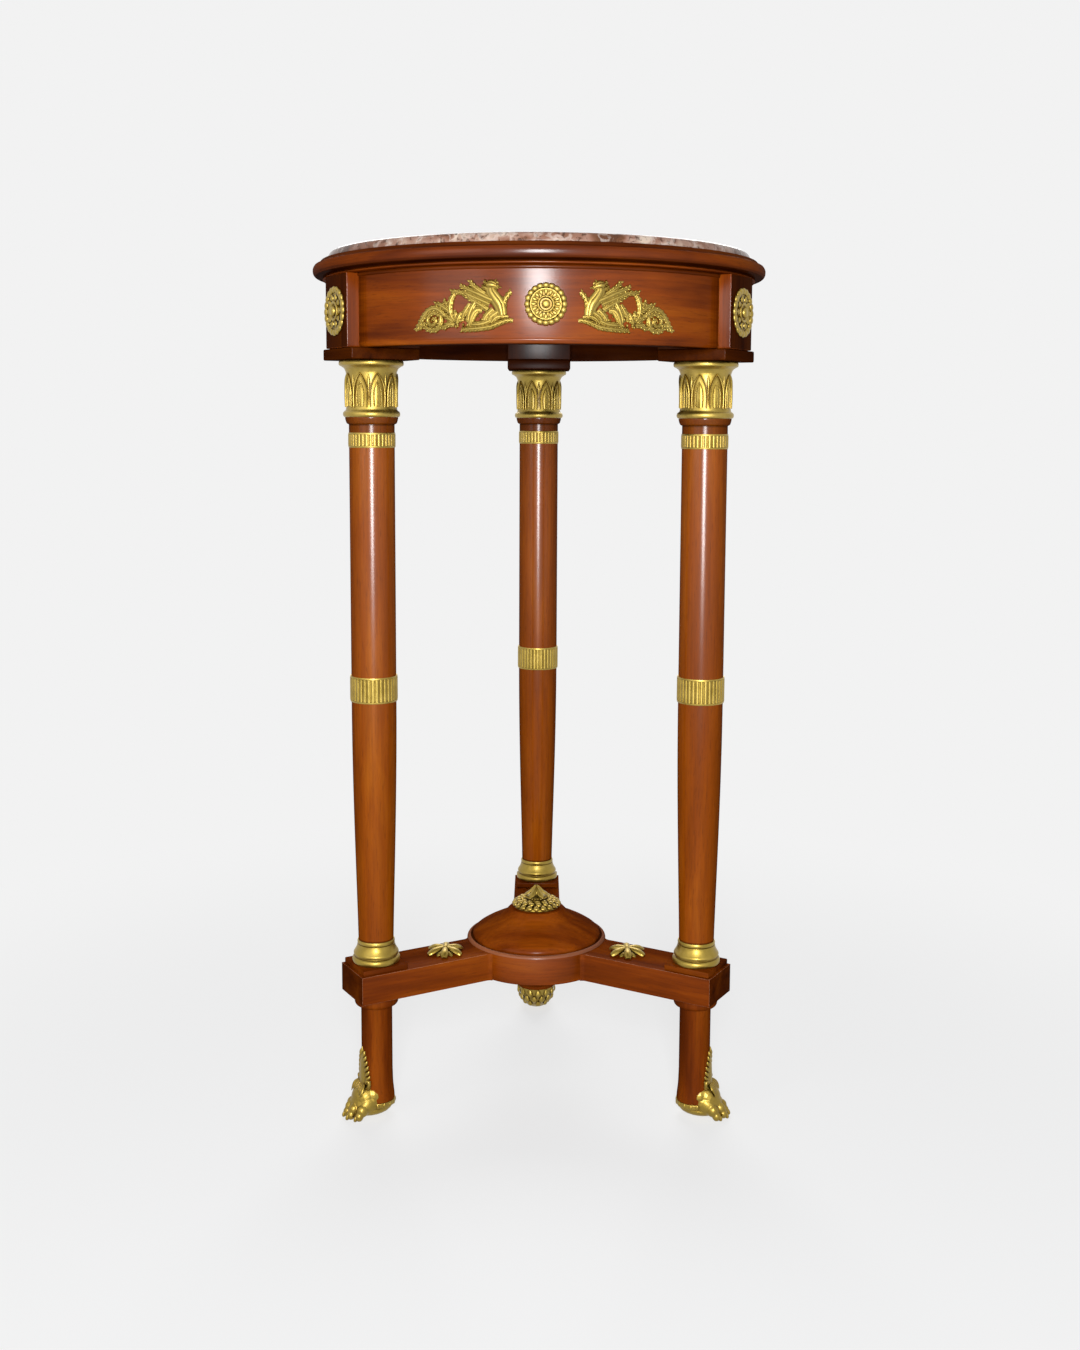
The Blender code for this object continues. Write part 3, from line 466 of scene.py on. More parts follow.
def publish_three(name, node, shape, material, slot, grain=None, drift=(0.0, 0.0, 0.0), **finish):
    """Publish a shape that faces +X on the left, right and rear, each with grain of its own."""
    for index, (side, degrees) in enumerate(SIDES.items()):
        own_grain = None if grain is None else grain + index * np.array(drift)
        publish(name + side, turn(shape, degrees), material, slot, [node + side], own_grain, **finish)


arm_low, arm_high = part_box("arm_rear")
arm_half = arm_high.x
arm_seat = hub_radius + FIT
arm_turn = math.sqrt((arm_seat + ARM_SWEEP) ** 2 - (arm_half + ARM_SWEEP) ** 2)
arm_flare = []
for step in range(7):
    swing = math.radians(-90 - 8.5 * step)
    arm_flare.append((arm_turn + ARM_SWEEP * math.cos(swing),
                      arm_half + ARM_SWEEP + ARM_SWEEP * math.sin(swing)))
root_half = arm_flare[-1][1]
arm_plan = arm_flare[:]
for step in range(13):
    across = root_half - 2 * root_half * step / 12
    arm_plan.append((math.sqrt(arm_seat ** 2 - across ** 2), across))
arm_plan += [(x, -across) for x, across in arm_flare[::-1]]
arm_plan += [(arm_high.y, -arm_half), (arm_high.y, arm_half)]
arm = eased(prism(arm_plan, arm_low.z, arm_high.z), ARM_EASE)
# The end faces are darker, for end grain and painted shade; the eased arrises get a pale painted highlight.
arm_ends = []
for face in arm[1]:
    corners = arm[0][list(face)]
    spread = corners.max(axis=0) - corners.min(axis=0)
    if corners[:, 0].min() > arm_high.y - 0.00005:
        arm_ends.append(END_GRAIN_AND_SHADE)
    elif corners[:, 0].max() > arm_turn + 0.001 and np.sort(spread)[1] < 1.2 * ARM_EASE:
        arm_ends.append(ARRIS_HIGHLIGHT)
    else:
        arm_ends.append(0.0)
publish_three("arm_bar_", "arm_", arm, base_mahogany, "mahogany", arm[0] + np.array((0.0, 0.0, 0.2)),
              drift=(0.4, 0.13, 0.0), ends=arm_ends)


# Arm stars. Cast and gilt bronze stars of six pointed leaves, pinned on the top of each arm.
# The leaves fall from a raised middle to the wood, and short ones lie lower between them.
STAR_LEAVES = 6
STAR_SPREAD = 1.06


def grown(tree, mesh, values):
    """Run a node tree on a mesh with its named sizes and give back the plain shape."""
    carrier = bpy.data.objects.new("carrier", mesh)
    scene.collection.objects.link(carrier)
    growth = carrier.modifiers.new("growth", "NODES")
    growth.node_group = tree
    for item in tree.interface.items_tree:
        if item.in_out == "INPUT" and item.name in values:
            growth[item.identifier] = values[item.name]
    made = bpy.data.meshes.new_from_object(carrier.evaluated_get(bpy.context.evaluated_depsgraph_get()))
    carrier.modifiers.remove(growth)
    bpy.data.objects.remove(carrier)
    return shape_of(made)


# Gilt bronze: cast, chased and fire gilt. Burnished high parts are bright and warm, hollows keep
# a dull brown bloom, and the chaser's tool leaves a fine uneven skin of about 1 mm. A thin lacquer lies
# over it. Ambient occlusion darkens the hollows, partly for that bloom and partly as painted shade, and
# the castings are painted darker towards the floor as painted shade.
gilt = bpy.data.materials.new("fire_gilt_chased_bronze")
gilt.use_nodes = True
metal = gilt.node_tree
metal_shader = metal.nodes["Principled BSDF"]
metal_place = add_node(metal, "ShaderNodeTexCoord").outputs["Object"]
# Ambient occlusion darkens the hollows: partly their brown bloom, partly painted shade.
hollow = add_node(metal, "ShaderNodeAmbientOcclusion", {"Distance": 0.0022}, samples=8, only_local=True)
wear = add_node(metal, "ShaderNodeTexNoise", {"Vector": metal_place, "Scale": 1 / 0.009, "Detail": 3.0})
tooling = add_node(metal, "ShaderNodeTexNoise", {"Vector": metal_place, "Scale": 1 / 0.0011, "Detail": 2.0})
wear_part = add_node(metal, "ShaderNodeMath", {0: wear, 1: 0.30}, operation="MULTIPLY")
depth = add_node(metal, "ShaderNodeMath", {0: hollow.outputs["AO"], 1: 0.80, 2: wear_part},
                 operation="MULTIPLY_ADD")
metal_level = add_node(metal, "ShaderNodeSeparateXYZ", {0: metal_place})
# Painted shade: the castings are darkened towards the floor.
floor_shade = add_node(metal, "ShaderNodeMapRange",
                  {"Value": metal_level.outputs["Z"], "From Min": 0.02, "From Max": 0.34, "To Min": 0.86,
                   "To Max": 1.0})
depth = add_node(metal, "ShaderNodeMath", {0: depth, 1: floor_shade}, operation="MULTIPLY")
gilt_tone = add_node(metal, "ShaderNodeValToRGB", {"Fac": depth},
                     stops=((0.28, "#2A1C07"), (1.0, "#B49B4E"), (0.62, "#775B1B"), (0.86, "#9C8438")))
gilt_rough = add_node(metal, "ShaderNodeMapRange",
                      {"Value": wear, "From Min": 0.3, "From Max": 0.7, "To Min": 0.38, "To Max": 0.50})
gilt_bump = add_node(metal, "ShaderNodeBump", {"Height": tooling, "Strength": 0.14, "Distance": 0.0004})
metal.links.new(gilt_tone.outputs[0], metal_shader.inputs["Base Color"])
metal.links.new(gilt_rough.outputs[0], metal_shader.inputs["Roughness"])
metal.links.new(gilt_bump.outputs[0], metal_shader.inputs["Normal"])
metal_shader.inputs["Metallic"].default_value = 1.0
metal_shader.inputs["Coat Weight"].default_value = 0.22
metal_shader.inputs["Coat Roughness"].default_value = 0.20

# Tree that lays copies of one casting round the upright axis, as a founder repeats a model.
ring_tree = bpy.data.node_groups.new("ring_of_castings", "GeometryNodeTree")
ring_tree.interface.new_socket("Casting", in_out="INPUT", socket_type="NodeSocketObject")
ring_tree.interface.new_socket("Count", in_out="INPUT", socket_type="NodeSocketInt")
ring_tree.interface.new_socket("Finish", in_out="INPUT", socket_type="NodeSocketMaterial")
ring_tree.interface.new_socket("Geometry", in_out="OUTPUT", socket_type="NodeSocketGeometry")
ring_in = add_node(ring_tree, "NodeGroupInput")
ring_places = add_node(ring_tree, "GeometryNodePoints", {"Count": ring_in.outputs["Count"]})
ring_index = add_node(ring_tree, "GeometryNodeInputIndex")
ring_share = add_node(ring_tree, "ShaderNodeMath", {0: ring_index, 1: ring_in.outputs["Count"]},
                      operation="DIVIDE")
ring_angle = add_node(ring_tree, "ShaderNodeMath", {0: ring_share, 1: 2 * math.pi}, operation="MULTIPLY")
ring_turn = add_node(ring_tree, "ShaderNodeCombineXYZ", {"Z": ring_angle})
ring_model = add_node(ring_tree, "GeometryNodeObjectInfo", {"Object": ring_in.outputs["Casting"]})
ring_copies = add_node(ring_tree, "GeometryNodeInstanceOnPoints",
                       {"Points": ring_places, "Instance": ring_model.outputs["Geometry"],
                        "Rotation": ring_turn})
ring_real = add_node(ring_tree, "GeometryNodeRealizeInstances", {"Geometry": ring_copies})
ring_finish = add_node(ring_tree, "GeometryNodeSetMaterial",
                       {"Geometry": ring_real, "Material": ring_in.outputs["Finish"]})
add_node(ring_tree, "NodeGroupOutput", {"Geometry": ring_finish})


def ring_of(shape, count):
    """Copies of a shape laid evenly round the upright axis."""
    mesh = bpy.data.meshes.new("casting")
    mesh.from_pydata(shape[0].tolist(), [], shape[1])
    casting = bpy.data.objects.new("casting", mesh)
    scene.collection.objects.link(casting)
    ring = grown(ring_tree, bpy.data.meshes.new("ring"),
                 {"Casting": casting, "Count": count, "Finish": gilt})
    bpy.data.objects.remove(casting)
    return ring


# Tree that draws cast ornament as strokes: each stroke is a line with a half width at every point,
# swept with a half-round section so that it lies on a flat back like a wax strip on a model.
stroke_tree = bpy.data.node_groups.new("chased_strokes", "GeometryNodeTree")
stroke_tree.interface.new_socket("Geometry", in_out="INPUT", socket_type="NodeSocketGeometry")
stroke_tree.interface.new_socket("Steps", in_out="INPUT", socket_type="NodeSocketInt")
stroke_tree.interface.new_socket("Section points", in_out="INPUT", socket_type="NodeSocketInt")
stroke_tree.interface.new_socket("Finish", in_out="INPUT", socket_type="NodeSocketMaterial")
stroke_tree.interface.new_socket("Geometry", in_out="OUTPUT", socket_type="NodeSocketGeometry")
stroke_in = add_node(stroke_tree, "NodeGroupInput")
stroke_line = add_node(stroke_tree, "GeometryNodeMeshToCurve", {0: stroke_in.outputs["Geometry"]})
stroke_soft = add_node(stroke_tree, "GeometryNodeCurveSplineType", {0: stroke_line},
                       spline_type="CATMULL_ROM")
stroke_fine = add_node(stroke_tree, "GeometryNodeSetSplineResolution",
                       {0: stroke_soft, "Resolution": stroke_in.outputs["Steps"]})
stroke_half = add_node(stroke_tree, "GeometryNodeInputNamedAttribute", {"Name": "half_width"},
                       data_type="FLOAT")
stroke_flat = add_node(stroke_tree, "GeometryNodeSetCurveNormal", {0: stroke_fine}, mode="Z_UP")
stroke_arc = add_node(stroke_tree, "GeometryNodeCurveArc",
                      {"Resolution": stroke_in.outputs["Section points"], "Radius": 1.0,
                       "Start Angle": math.pi, "Sweep Angle": math.pi}, mode="RADIUS")
stroke_back = add_node(stroke_tree, "GeometryNodeSetSplineCyclic", {0: stroke_arc, "Cyclic": True})
stroke_swept = add_node(stroke_tree, "GeometryNodeCurveToMesh",
                        {"Curve": stroke_flat, "Profile Curve": stroke_back, "Scale": stroke_half,
                         "Fill Caps": True})
stroke_place = add_node(stroke_tree, "GeometryNodeInputPosition")
stroke_parts = add_node(stroke_tree, "ShaderNodeSeparateXYZ", {0: stroke_place})
stroke_relief = add_node(stroke_tree, "GeometryNodeInputNamedAttribute", {"Name": "relief"},
                         data_type="FLOAT")
stroke_out = add_node(stroke_tree, "ShaderNodeMath", {0: stroke_parts.outputs["Z"], 1: stroke_relief},
                      operation="MULTIPLY")
stroke_spot = add_node(stroke_tree, "ShaderNodeCombineXYZ",
                       {"X": stroke_parts.outputs["X"], "Y": stroke_parts.outputs["Y"], "Z": stroke_out})
stroke_high = add_node(stroke_tree, "GeometryNodeSetPosition",
                       {"Geometry": stroke_swept, "Position": stroke_spot})
stroke_real = add_node(stroke_tree, "GeometryNodeRealizeInstances", {"Geometry": stroke_high})
stroke_finish = add_node(stroke_tree, "GeometryNodeSetMaterial",
                         {"Geometry": stroke_real, "Material": stroke_in.outputs["Finish"]})
add_node(stroke_tree, "NodeGroupOutput", {"Geometry": stroke_finish})


def chased(strokes, steps=4, section=7):
    """Cast relief from strokes in millimetres; each stroke is (relief, [(x, y, half width), ...])."""
    points = []
    edges = []
    widths = []
    reliefs = []
    for relief, line in strokes:
        for index, (x, y, half) in enumerate(line):
            if index:
                edges.append((len(points) - 1, len(points)))
            points.append((x, y, 0.0))
            widths.append(half)
            reliefs.append(relief)
    mesh = bpy.data.meshes.new("strokes")
    mesh.from_pydata(points, edges, [])
    mesh.attributes.new("half_width", "FLOAT", "POINT").data.foreach_set("value", widths)
    mesh.attributes.new("relief", "FLOAT", "POINT").data.foreach_set("value", reliefs)
    shape = grown(stroke_tree, mesh, {"Steps": steps, "Section points": section, "Finish": gilt})
    return shape[0] * 0.001, shape[1]


def joined(*shapes):
    """One shape from several."""
    points = []
    faces = []
    start = 0
    for shape in shapes:
        points.append(shape[0])
        faces += [tuple(start + index for index in face) for face in shape[1]]
        start += len(shape[0])
    return np.concatenate(points), faces


def laid_along(shape, path):
    """Lay a flat relief (x along, y across, z out) on a (radius, height) line in the radial plane."""
    line = np.array(smooth_run(path, 10))
    steps = np.linalg.norm(np.diff(line, axis=0), axis=1)
    run = np.concatenate([[0.0], np.cumsum(steps)])
    along = np.clip(shape[0][:, 0], 0.0, run[-1])
    radius = np.interp(along, run, line[:, 0])
    height = np.interp(along, run, line[:, 1])
    slope = np.gradient(line, run, axis=0)
    slope_r = np.interp(along, run, slope[:, 0])
    slope_z = np.interp(along, run, slope[:, 1])
    size = np.hypot(slope_r, slope_z)
    out = shape[0][:, 2]
    points = np.stack([radius - out * slope_z / size, shape[0][:, 1], height + out * slope_r / size], 1)
    return points, shape[1]


def leaf(length, half, relief, rib, broad=0.45):
    """Pointed leaf along +X with a raised midrib, broadest at a share of its length, in millimetres."""
    blade = [(0, 0, 0.35 * half), (0.5 * broad * length, 0, 0.82 * half), (broad * length, 0, half),
             (0.5 * (1 + broad) * length, 0, 0.66 * half), (length, 0, 0.10)]
    midrib = [(0, 0, rib), (0.6 * length, 0, 0.8 * rib), (0.97 * length, 0, 0.2)]
    return chased([(relief, blade), (1.5 + relief, midrib)])


star_low, star_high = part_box("arm_star_rear")
star_reach = (star_high.x - star_low.x) / 2
star_centre = (star_low.y + star_high.y) / 2
star_fall = [(0.0010, 0.0052), (0.0050, 0.0046), (0.0110, 0.0030), (star_reach, 0.0004)]
star_blade = [(0, 0, 1.4), (5, 0, 2.8), (10, 0, 3.6), (14, 0, 3.2), (17.6, 0, 1.8), (19.8, 0, 0.2)]
star_leaf = laid_along(chased([(0.80, star_blade)]), star_fall)
star_low_fall = [(0.0020, 0.0030), (0.0080, 0.0018), (0.0140, 0.0002)]
star_low_leaf = laid_along(leaf(12.0, 3.4, relief=0.40, rib=0.5, broad=0.55), star_low_fall)
star_button = turned(moulding(
    (0.0, 0.0), [(0.0052, 0.0)], [(0.0046, 0.0030), (0.0030, 0.0048)], [(0.0026, 0.0046)],
    [(0.0022, 0.0062), (0.0012, 0.0069), (0.0, 0.0070)]), 24)
star_between = turn(ring_of(star_low_leaf, STAR_LEAVES), 180 / STAR_LEAVES)
star = joined(ring_of(star_leaf, STAR_LEAVES), star_between, star_button)
star = shift(stretched(star, STAR_SPREAD, STAR_SPREAD), star_centre, 0, star_low.z)
publish_three("leaf_star_", "arm_star_", star, gilt, "gilt_bronze")


# Finial. Gilt bronze bud on the dome: six leaves hang like a tent from its tip over a beaded neck,
# and a wreath of short leaves in three rows lies round its foot. Cast in two parts, screwed down.
FINIAL_MODEL_RISE = 0.0215


def leaf_rows(shape, rows):
    """Rings of one leaf; each row is a count, the angle of its first leaf and the path it lies on."""
    return joined(*[turn(ring_of(laid_along(shape, path), count), start) for count, start, path in rows])


finial_low, finial_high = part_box("dome_finial")
finial_core = turned(moulding(
    (0.0, 0.0), [(0.0220, 0.0)],
    [(0.0225, 0.0016), (0.0212, 0.0038), (0.0182, 0.0054), (0.0140, 0.0062), (0.0095, 0.0080)],
    [(0.0086, 0.0094)], [(0.0094, 0.0104), (0.0086, 0.0114)],
    [(0.0044, 0.0130), (0.0026, 0.0160), (0.0015, 0.0196), (0.0, 0.0210)]), 48)
wreath_leaf = leaf(7.0, 2.9, relief=0.62, rib=0.6, broad=0.60)
wreath_rows = ((20, 0.0, [(0.0190, 0.0062), (0.0217, 0.0044), (0.0231, 0.0020), (0.0236, -0.0002)]),
               (16, 7.0, [(0.0140, 0.0074), (0.0174, 0.0073), (0.0200, 0.0059), (0.0213, 0.0042)]),
               (12, 3.0, [(0.0100, 0.0080), (0.0130, 0.0083), (0.0156, 0.0078), (0.0172, 0.0068)]))
wreath = leaf_rows(wreath_leaf, wreath_rows)
tent_fall = [(0.0006, 0.0217), (0.0034, 0.0188), (0.0076, 0.0148), (0.0128, 0.0120)]
tent = ring_of(laid_along(leaf(16.0, 3.0, relief=0.55, rib=0.9, broad=0.66), tent_fall), 6)
neck_bead = turned(moulding(
    (0.0, -0.0012), [(0.0010, -0.0006), (0.0012, 0.0), (0.0010, 0.0006), (0.0, 0.0012)]), 8)
neck_beads = ring_of(shift(neck_bead, 0.0097, 0, 0.0104), 22)
finial_squat = (finial_high.z - finial_low.z) / FINIAL_MODEL_RISE
finial = stretched(joined(finial_core, wreath, tent, neck_beads), z=finial_squat)
publish("leaf_finial", shift(finial, z=finial_low.z), gilt, "gilt_bronze", ["dome_finial"])


# Boss. Gilt bronze bud of three rows of leaves under the drop, screwed up into it from below.
# The rows of thirteen, thirteen and nine leaves overlap like scales down to a small knob.
BOSS_MODEL_RADIUS = 0.0202
boss_low, boss_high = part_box("drop_boss")
boss_fall = boss_high.z - boss_low.z
boss_core = turned(moulding(
    (0.0, -0.97), [(0.0040, -0.95), (0.0105, -0.80), (0.0160, -0.52), (0.0196, -0.22), (0.0210, 0.06)],
    [(0.0, 0.06)]), 48)
boss_knob = turned(moulding(
    (0.0, -1.0), [(0.0022, -0.985), (0.0032, -0.92), (0.0026, -0.84)], [(0.0, -0.84)]), 20)
boss_leaf = leaf(8.0, 3.1, relief=0.60, rib=0.6, broad=0.60)
boss_rows = ((13, 0.0, [(0.0206, 0.04), (0.0206, -0.16), (0.0198, -0.36)]),
             (13, 13.8, [(0.0196, -0.26), (0.0184, -0.46), (0.0158, -0.66)]),
             (9, 0.0, [(0.0162, -0.54), (0.0128, -0.76), (0.0080, -0.92)]))
hung_rows = []
for count, start, path in boss_rows:
    hung_rows.append((count, start, [(reach, fall * boss_fall) for reach, fall in path]))
boss_slim = boss_high.y / BOSS_MODEL_RADIUS
boss = joined(stretched(joined(boss_core, boss_knob), z=boss_fall), leaf_rows(boss_leaf, hung_rows))
boss = shift(stretched(boss, boss_slim, boss_slim), z=boss_high.z)
publish("leaf_boss", boss, gilt, "gilt_bronze", ["drop_boss"])


# Legs. Plain turned mahogany legs under the arms, each with a rounded collar against the arm.
# The foot swells a little where the bronze shoe grips it; a tenon holds the leg in the arm.
# The legs are drawn darker and duller all over through their end_grain_and_painted_light value.
LEG_DARKENING = 0.15
leg_low, leg_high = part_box("leg_rear")
leg_axis = (leg_low.y + leg_high.y) / 2
arm_under = arm_low.z - FIT
leg_foot = leg_low.z
leg_line = moulding(
    (0.0, leg_foot), [(0.0161, leg_foot)],
    [(0.0160, leg_foot + 0.004), (0.0149, leg_foot + 0.015), (0.0144, leg_foot + 0.030)],
    [(0.0144, arm_under - 0.0104)], [(0.0147, arm_under - 0.0096), (0.0160, arm_under - 0.0093)],
    [(0.0188, arm_under - 0.0087), (0.0202, arm_under - 0.0062), (0.0201, arm_under - 0.0024),
     (0.0196, arm_under)], [(0.0, arm_under)])
leg = turned(leg_line, 56)
publish_three("leg_turning_", "leg_", shift(leg, leg_axis), base_mahogany, "mahogany",
              leg[0][:, [2, 0, 1]] + np.array((0.3, 0.0, 0.0)), drift=(0.17, 0.1, 0.0),
              ends=[LEG_DARKENING] * len(leg[1]))


# Paws. Cast gilt bronze shoes in the form of a lion's paw, slipped over the foot of each leg.
# Four knuckled toes with claws face outwards, hair falls over the instep, and a saw-edged acanthus
# leaf climbs the front of the leg; a leaf band closes the shoe behind. The right shoe sits turned.
RIGHT_SHOE_TURN = 14.0


def ball(centre, radii, tilt=0.0):
    """Egg with its own three radii, tilted in the upright plane that points outwards."""
    rows = [(math.sin(math.pi * step / 12), -math.cos(math.pi * step / 12)) for step in range(13)]
    points, faces = turned(rows, 20)
    points = points * np.array(radii)
    angle = math.radians(tilt)
    lean = np.array([(math.cos(angle), 0, math.sin(angle)),
                     (0, 1, 0),
                     (-math.sin(angle), 0, math.cos(angle))])
    return points @ lean.T + np.array(centre), faces


def fused(shape, grit, passes):
    """Melt overlapping lumps into one skin, as a modeller blends wax."""
    mesh = bpy.data.meshes.new("wax")
    mesh.from_pydata(shape[0].tolist(), [], shape[1])
    wax = bpy.data.objects.new("wax", mesh)
    scene.collection.objects.link(wax)
    melt = wax.modifiers.new("melt", "REMESH")
    melt.mode = "VOXEL"
    melt.voxel_size = grit
    rub = wax.modifiers.new("rub", "SMOOTH")
    rub.factor = 0.5
    rub.iterations = passes
    made = bpy.data.meshes.new_from_object(wax.evaluated_get(bpy.context.evaluated_depsgraph_get()))
    wax.modifiers.remove(rub)
    wax.modifiers.remove(melt)
    bpy.data.objects.remove(wax)
    return shape_of(made)


def wrapped(shape, radius, height, lean=0.0):
    """Wrap a flat relief (x across, y up, z out) round an upright cylinder, facing +X."""
    across, up, out = shape[0].T
    reach = radius + out + lean * up
    angle = across / radius
    return np.stack([reach * np.cos(angle), reach * np.sin(angle), height + up], 1), shape[1]


lumps = [ball((0.0085, 0, 0.0140), (0.0190, 0.0150, 0.0140), 14),
         ball((0.0050, 0, 0.0200), (0.0140, 0.0150, 0.0130)),
         ball((0.0120, 0, 0.0190), (0.0140, 0.0132, 0.0120), 34),
         ball((0.0060, 0, 0.0070), (0.0200, 0.0145, 0.0070))]
claws = []
for across, back in ((-0.0114, 0.0056), (-0.0040, 0.0006), (0.0040, 0.0006), (0.0114, 0.0056)):
    lumps.append(ball((0.0185 - back, across * 0.92, 0.0128), (0.0100, 0.0046, 0.0076), 26))
    lumps.append(ball((0.0255 - back, across, 0.0092), (0.0058, 0.0046, 0.0058), 10))
    lumps.append(ball((0.0292 - back, across, 0.0046), (0.0040, 0.0041, 0.0046), 0))
    claws.append(ball((0.0322 - back, across, 0.0034), (0.0022, 0.0014, 0.0034), -30))
paw_skin = fused(joined(*lumps), 0.0006, 2)
paw_skin[0][:, 2] = np.maximum(paw_skin[0][:, 2], 0.0)
leaf_lobes = [(0.22, [(0, -4, 8.0), (0, 6, 8.0), (0, 18, 6.4), (0, 28, 4.2), (0, 36.5, 0.6)])]
lobe_reaches = {-2.5: 11.0, 2.0: 11.0, 6.5: 10.6, 11.0: 9.8, 15.5: 8.8, 20.0: 7.4, 24.5: 5.9, 28.6: 4.2}
lobe = ((0.52, -2.4, 0.8), (0.76, 0.4, 1.8), (0.94, 2.6, 1.5), (1.02, 4.4, 0.5))
for rise, reach in lobe_reaches.items():
    for lean in (-1, 1):
        leaf_lobes.append((1.05, [(out * reach * lean, rise + up, half) for out, up, half in lobe]))
leaf_lobes.append((1.2, [(0, 27.0, 0.4), (0, 32.0, 1.4), (0, 36.5, 0.4)]))
climbing_leaf = wrapped(chased(leaf_lobes), 0.0156, 0.0300, -0.025)
hair = []
for spread in (-9.0, -5.4, -1.8, 1.8, 5.4, 9.0):
    hair.append((0.75, [(0.0, 0.75 * spread, 0.9), (4.5, spread, 1.8), (9.0, 1.06 * spread + 0.7, 1.6),
                        (13.0, spread, 0.3)]))
hair_fall = [(0.0158, 0.0330), (0.0190, 0.0290), (0.0218, 0.0232), (0.0244, 0.0176)]
hair_locks = laid_along(chased(hair), hair_fall)
curls = []
for lean in (-1, 1):
    curl = [(lean * 8.0, -1.0, 1.3), (lean * 11.6, 2.0, 1.6), (lean * 11.0, 5.6, 1.6),
            (lean * 8.4, 5.2, 1.3), (lean * 8.6, 3.0, 0.9)]
    curls.append(wrapped(chased([(1.2, curl)]), 0.0168, 0.0300))
band_leaf = wrapped(chased([(0.5, [(0, 0.2, 1.0), (0, 1.6, 1.7), (0, 3.4, 1.5), (0, 4.8, 0.4)]),
                            (1.2, [(0, 0.3, 0.4), (0, 4.2, 0.3)])]), 0.0164, 0.0095)
band = ring_of(band_leaf, 16)
band_core = turned(moulding(
    (0.0, 0.0095), [(0.0160, 0.0095)], [(0.0167, 0.0104), (0.0167, 0.0134), (0.0164, 0.0142)],
    [(0.0, 0.0142)]), 48)
paw = joined(paw_skin, *claws, climbing_leaf, hair_locks, *curls, band, band_core)
for side, degrees in SIDES.items():
    shoe = turn(paw, RIGHT_SHOE_TURN) if side == "right" else paw
    publish("lion_paw_" + side, turn(shift(shoe, leg_axis), degrees), gilt, "gilt_bronze",
            ["paw_foot_" + side], sharp=50.0)


# Plinths. Thin square mahogany boards on the outer ends of the arms, bored for the column tenon.
# They stand in a little from the edges of the arm and have eased arrises.
# The boards are drawn darker and duller all over through their end_grain_and_painted_light value.
PLINTH_DARKENING = 0.35


def square_board(low, high, ease):
    """Square board that fills a box, centred on the upright axis, with eased arrises."""
    half = (high.x - low.x) / 2
    return eased(prism([(-half, -half), (half, -half), (half, half), (-half, half)], low.z, high.z), ease)


plinth_low, plinth_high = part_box("plinth_rear")
plinth = square_board(plinth_low, plinth_high, 0.0008)
publish_three("plinth_board_", "plinth_", shift(plinth, leg_axis), base_mahogany, "mahogany",
              plinth[0] + np.array((0.7, 0.0, 0.0)), drift=(0.21, 0.0, 0.0),
              ends=[PLINTH_DARKENING] * len(plinth[1]))


# Column bases. Turned and gilt bronze rings with a torus below, a dark quirk and a swept hollow
# that closes on the shaft under a small fillet. They slip over the column's tenon.
base_low, base_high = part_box("column_base_rear")
foot = base_low.z
base_rise = 0.0214
base_line = moulding(
    (0.0083, 0.0), [(0.0210, 0.0)],
    [(0.0218, 0.0012), (0.0221, 0.0030), (0.0216, 0.0048), (0.0205, 0.0059)],
    [(0.0198, 0.0063), (0.0197, 0.0071)], [(0.0205, 0.0076)],
    [(0.0208, 0.0086), (0.0205, 0.0098), (0.0196, 0.0112), (0.0184, 0.0134), (0.0176, 0.0156),
     (0.0172, 0.0174)], [(0.0167, 0.0177)], [(0.0172, 0.0187), (0.0172, 0.0201), (0.0167, base_rise)],
    [(0.0083, base_rise)])
base = turned(base_line, 56, ring=True)
publish_three("base_ring_", "column_base_", shift(base, leg_axis, 0, foot), gilt, "gilt_bronze")


# Shafts. Slim turned mahogany columns, nearly straight above the middle collar and tapering below
# it, with a short flare under the capital and a tenon at each end. Straight grain runs up the shaft.
# Painted shade darkens the neck under the capital and the line below the flare, and a painted shadow
# darkens the foot where it meets the base.
SHAFT_RADIUS = 0.0203
SHAFT_FOOT_RADIUS = 0.0162
TAPER_RISE = 0.2221
FOOT_SHADE = 0.60
NECK_SHADE = 0.58
FLARE_LINE_SHADE = 0.90
shaft_foot = base_high.z + FIT
shaft_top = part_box("capital_rear")[0].z - 0.00002
neck_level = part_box("upper_collar_rear")[1].z
shaft_seat = foot + base_rise + 0.0002
shaft_line = [(0.0, shaft_seat), (SHAFT_FOOT_RADIUS, shaft_seat), (SHAFT_FOOT_RADIUS, shaft_foot)]
for step in range(1, 25):
    share = step / 24
    swell = (SHAFT_RADIUS - SHAFT_FOOT_RADIUS) * math.sin(share * math.pi / 2) ** 1.15
    shaft_line.append((SHAFT_FOOT_RADIUS + swell, shaft_foot + TAPER_RISE * share))
shaft_line += moulding(
    (SHAFT_RADIUS, shaft_foot + 0.2300), [(SHAFT_RADIUS, neck_level - 0.002)],
    [(SHAFT_RADIUS, shaft_top - 0.0076)], [(SHAFT_RADIUS, shaft_top - 0.0064)],
    [(0.0213, shaft_top - 0.0060)],
    [(0.0223, shaft_top - 0.0051), (0.0230, shaft_top - 0.0032), (0.0235, shaft_top - 0.0010),
     (0.0235, shaft_top)], [(0.0, shaft_top)])
shaft = turned(shaft_line, 64)
straight_mahogany = polished_mahogany("straight_grained_mahogany", "#7E3804", "#934606", "#A2540B",
                                      gloss=1.0, skin_rough=0.20)
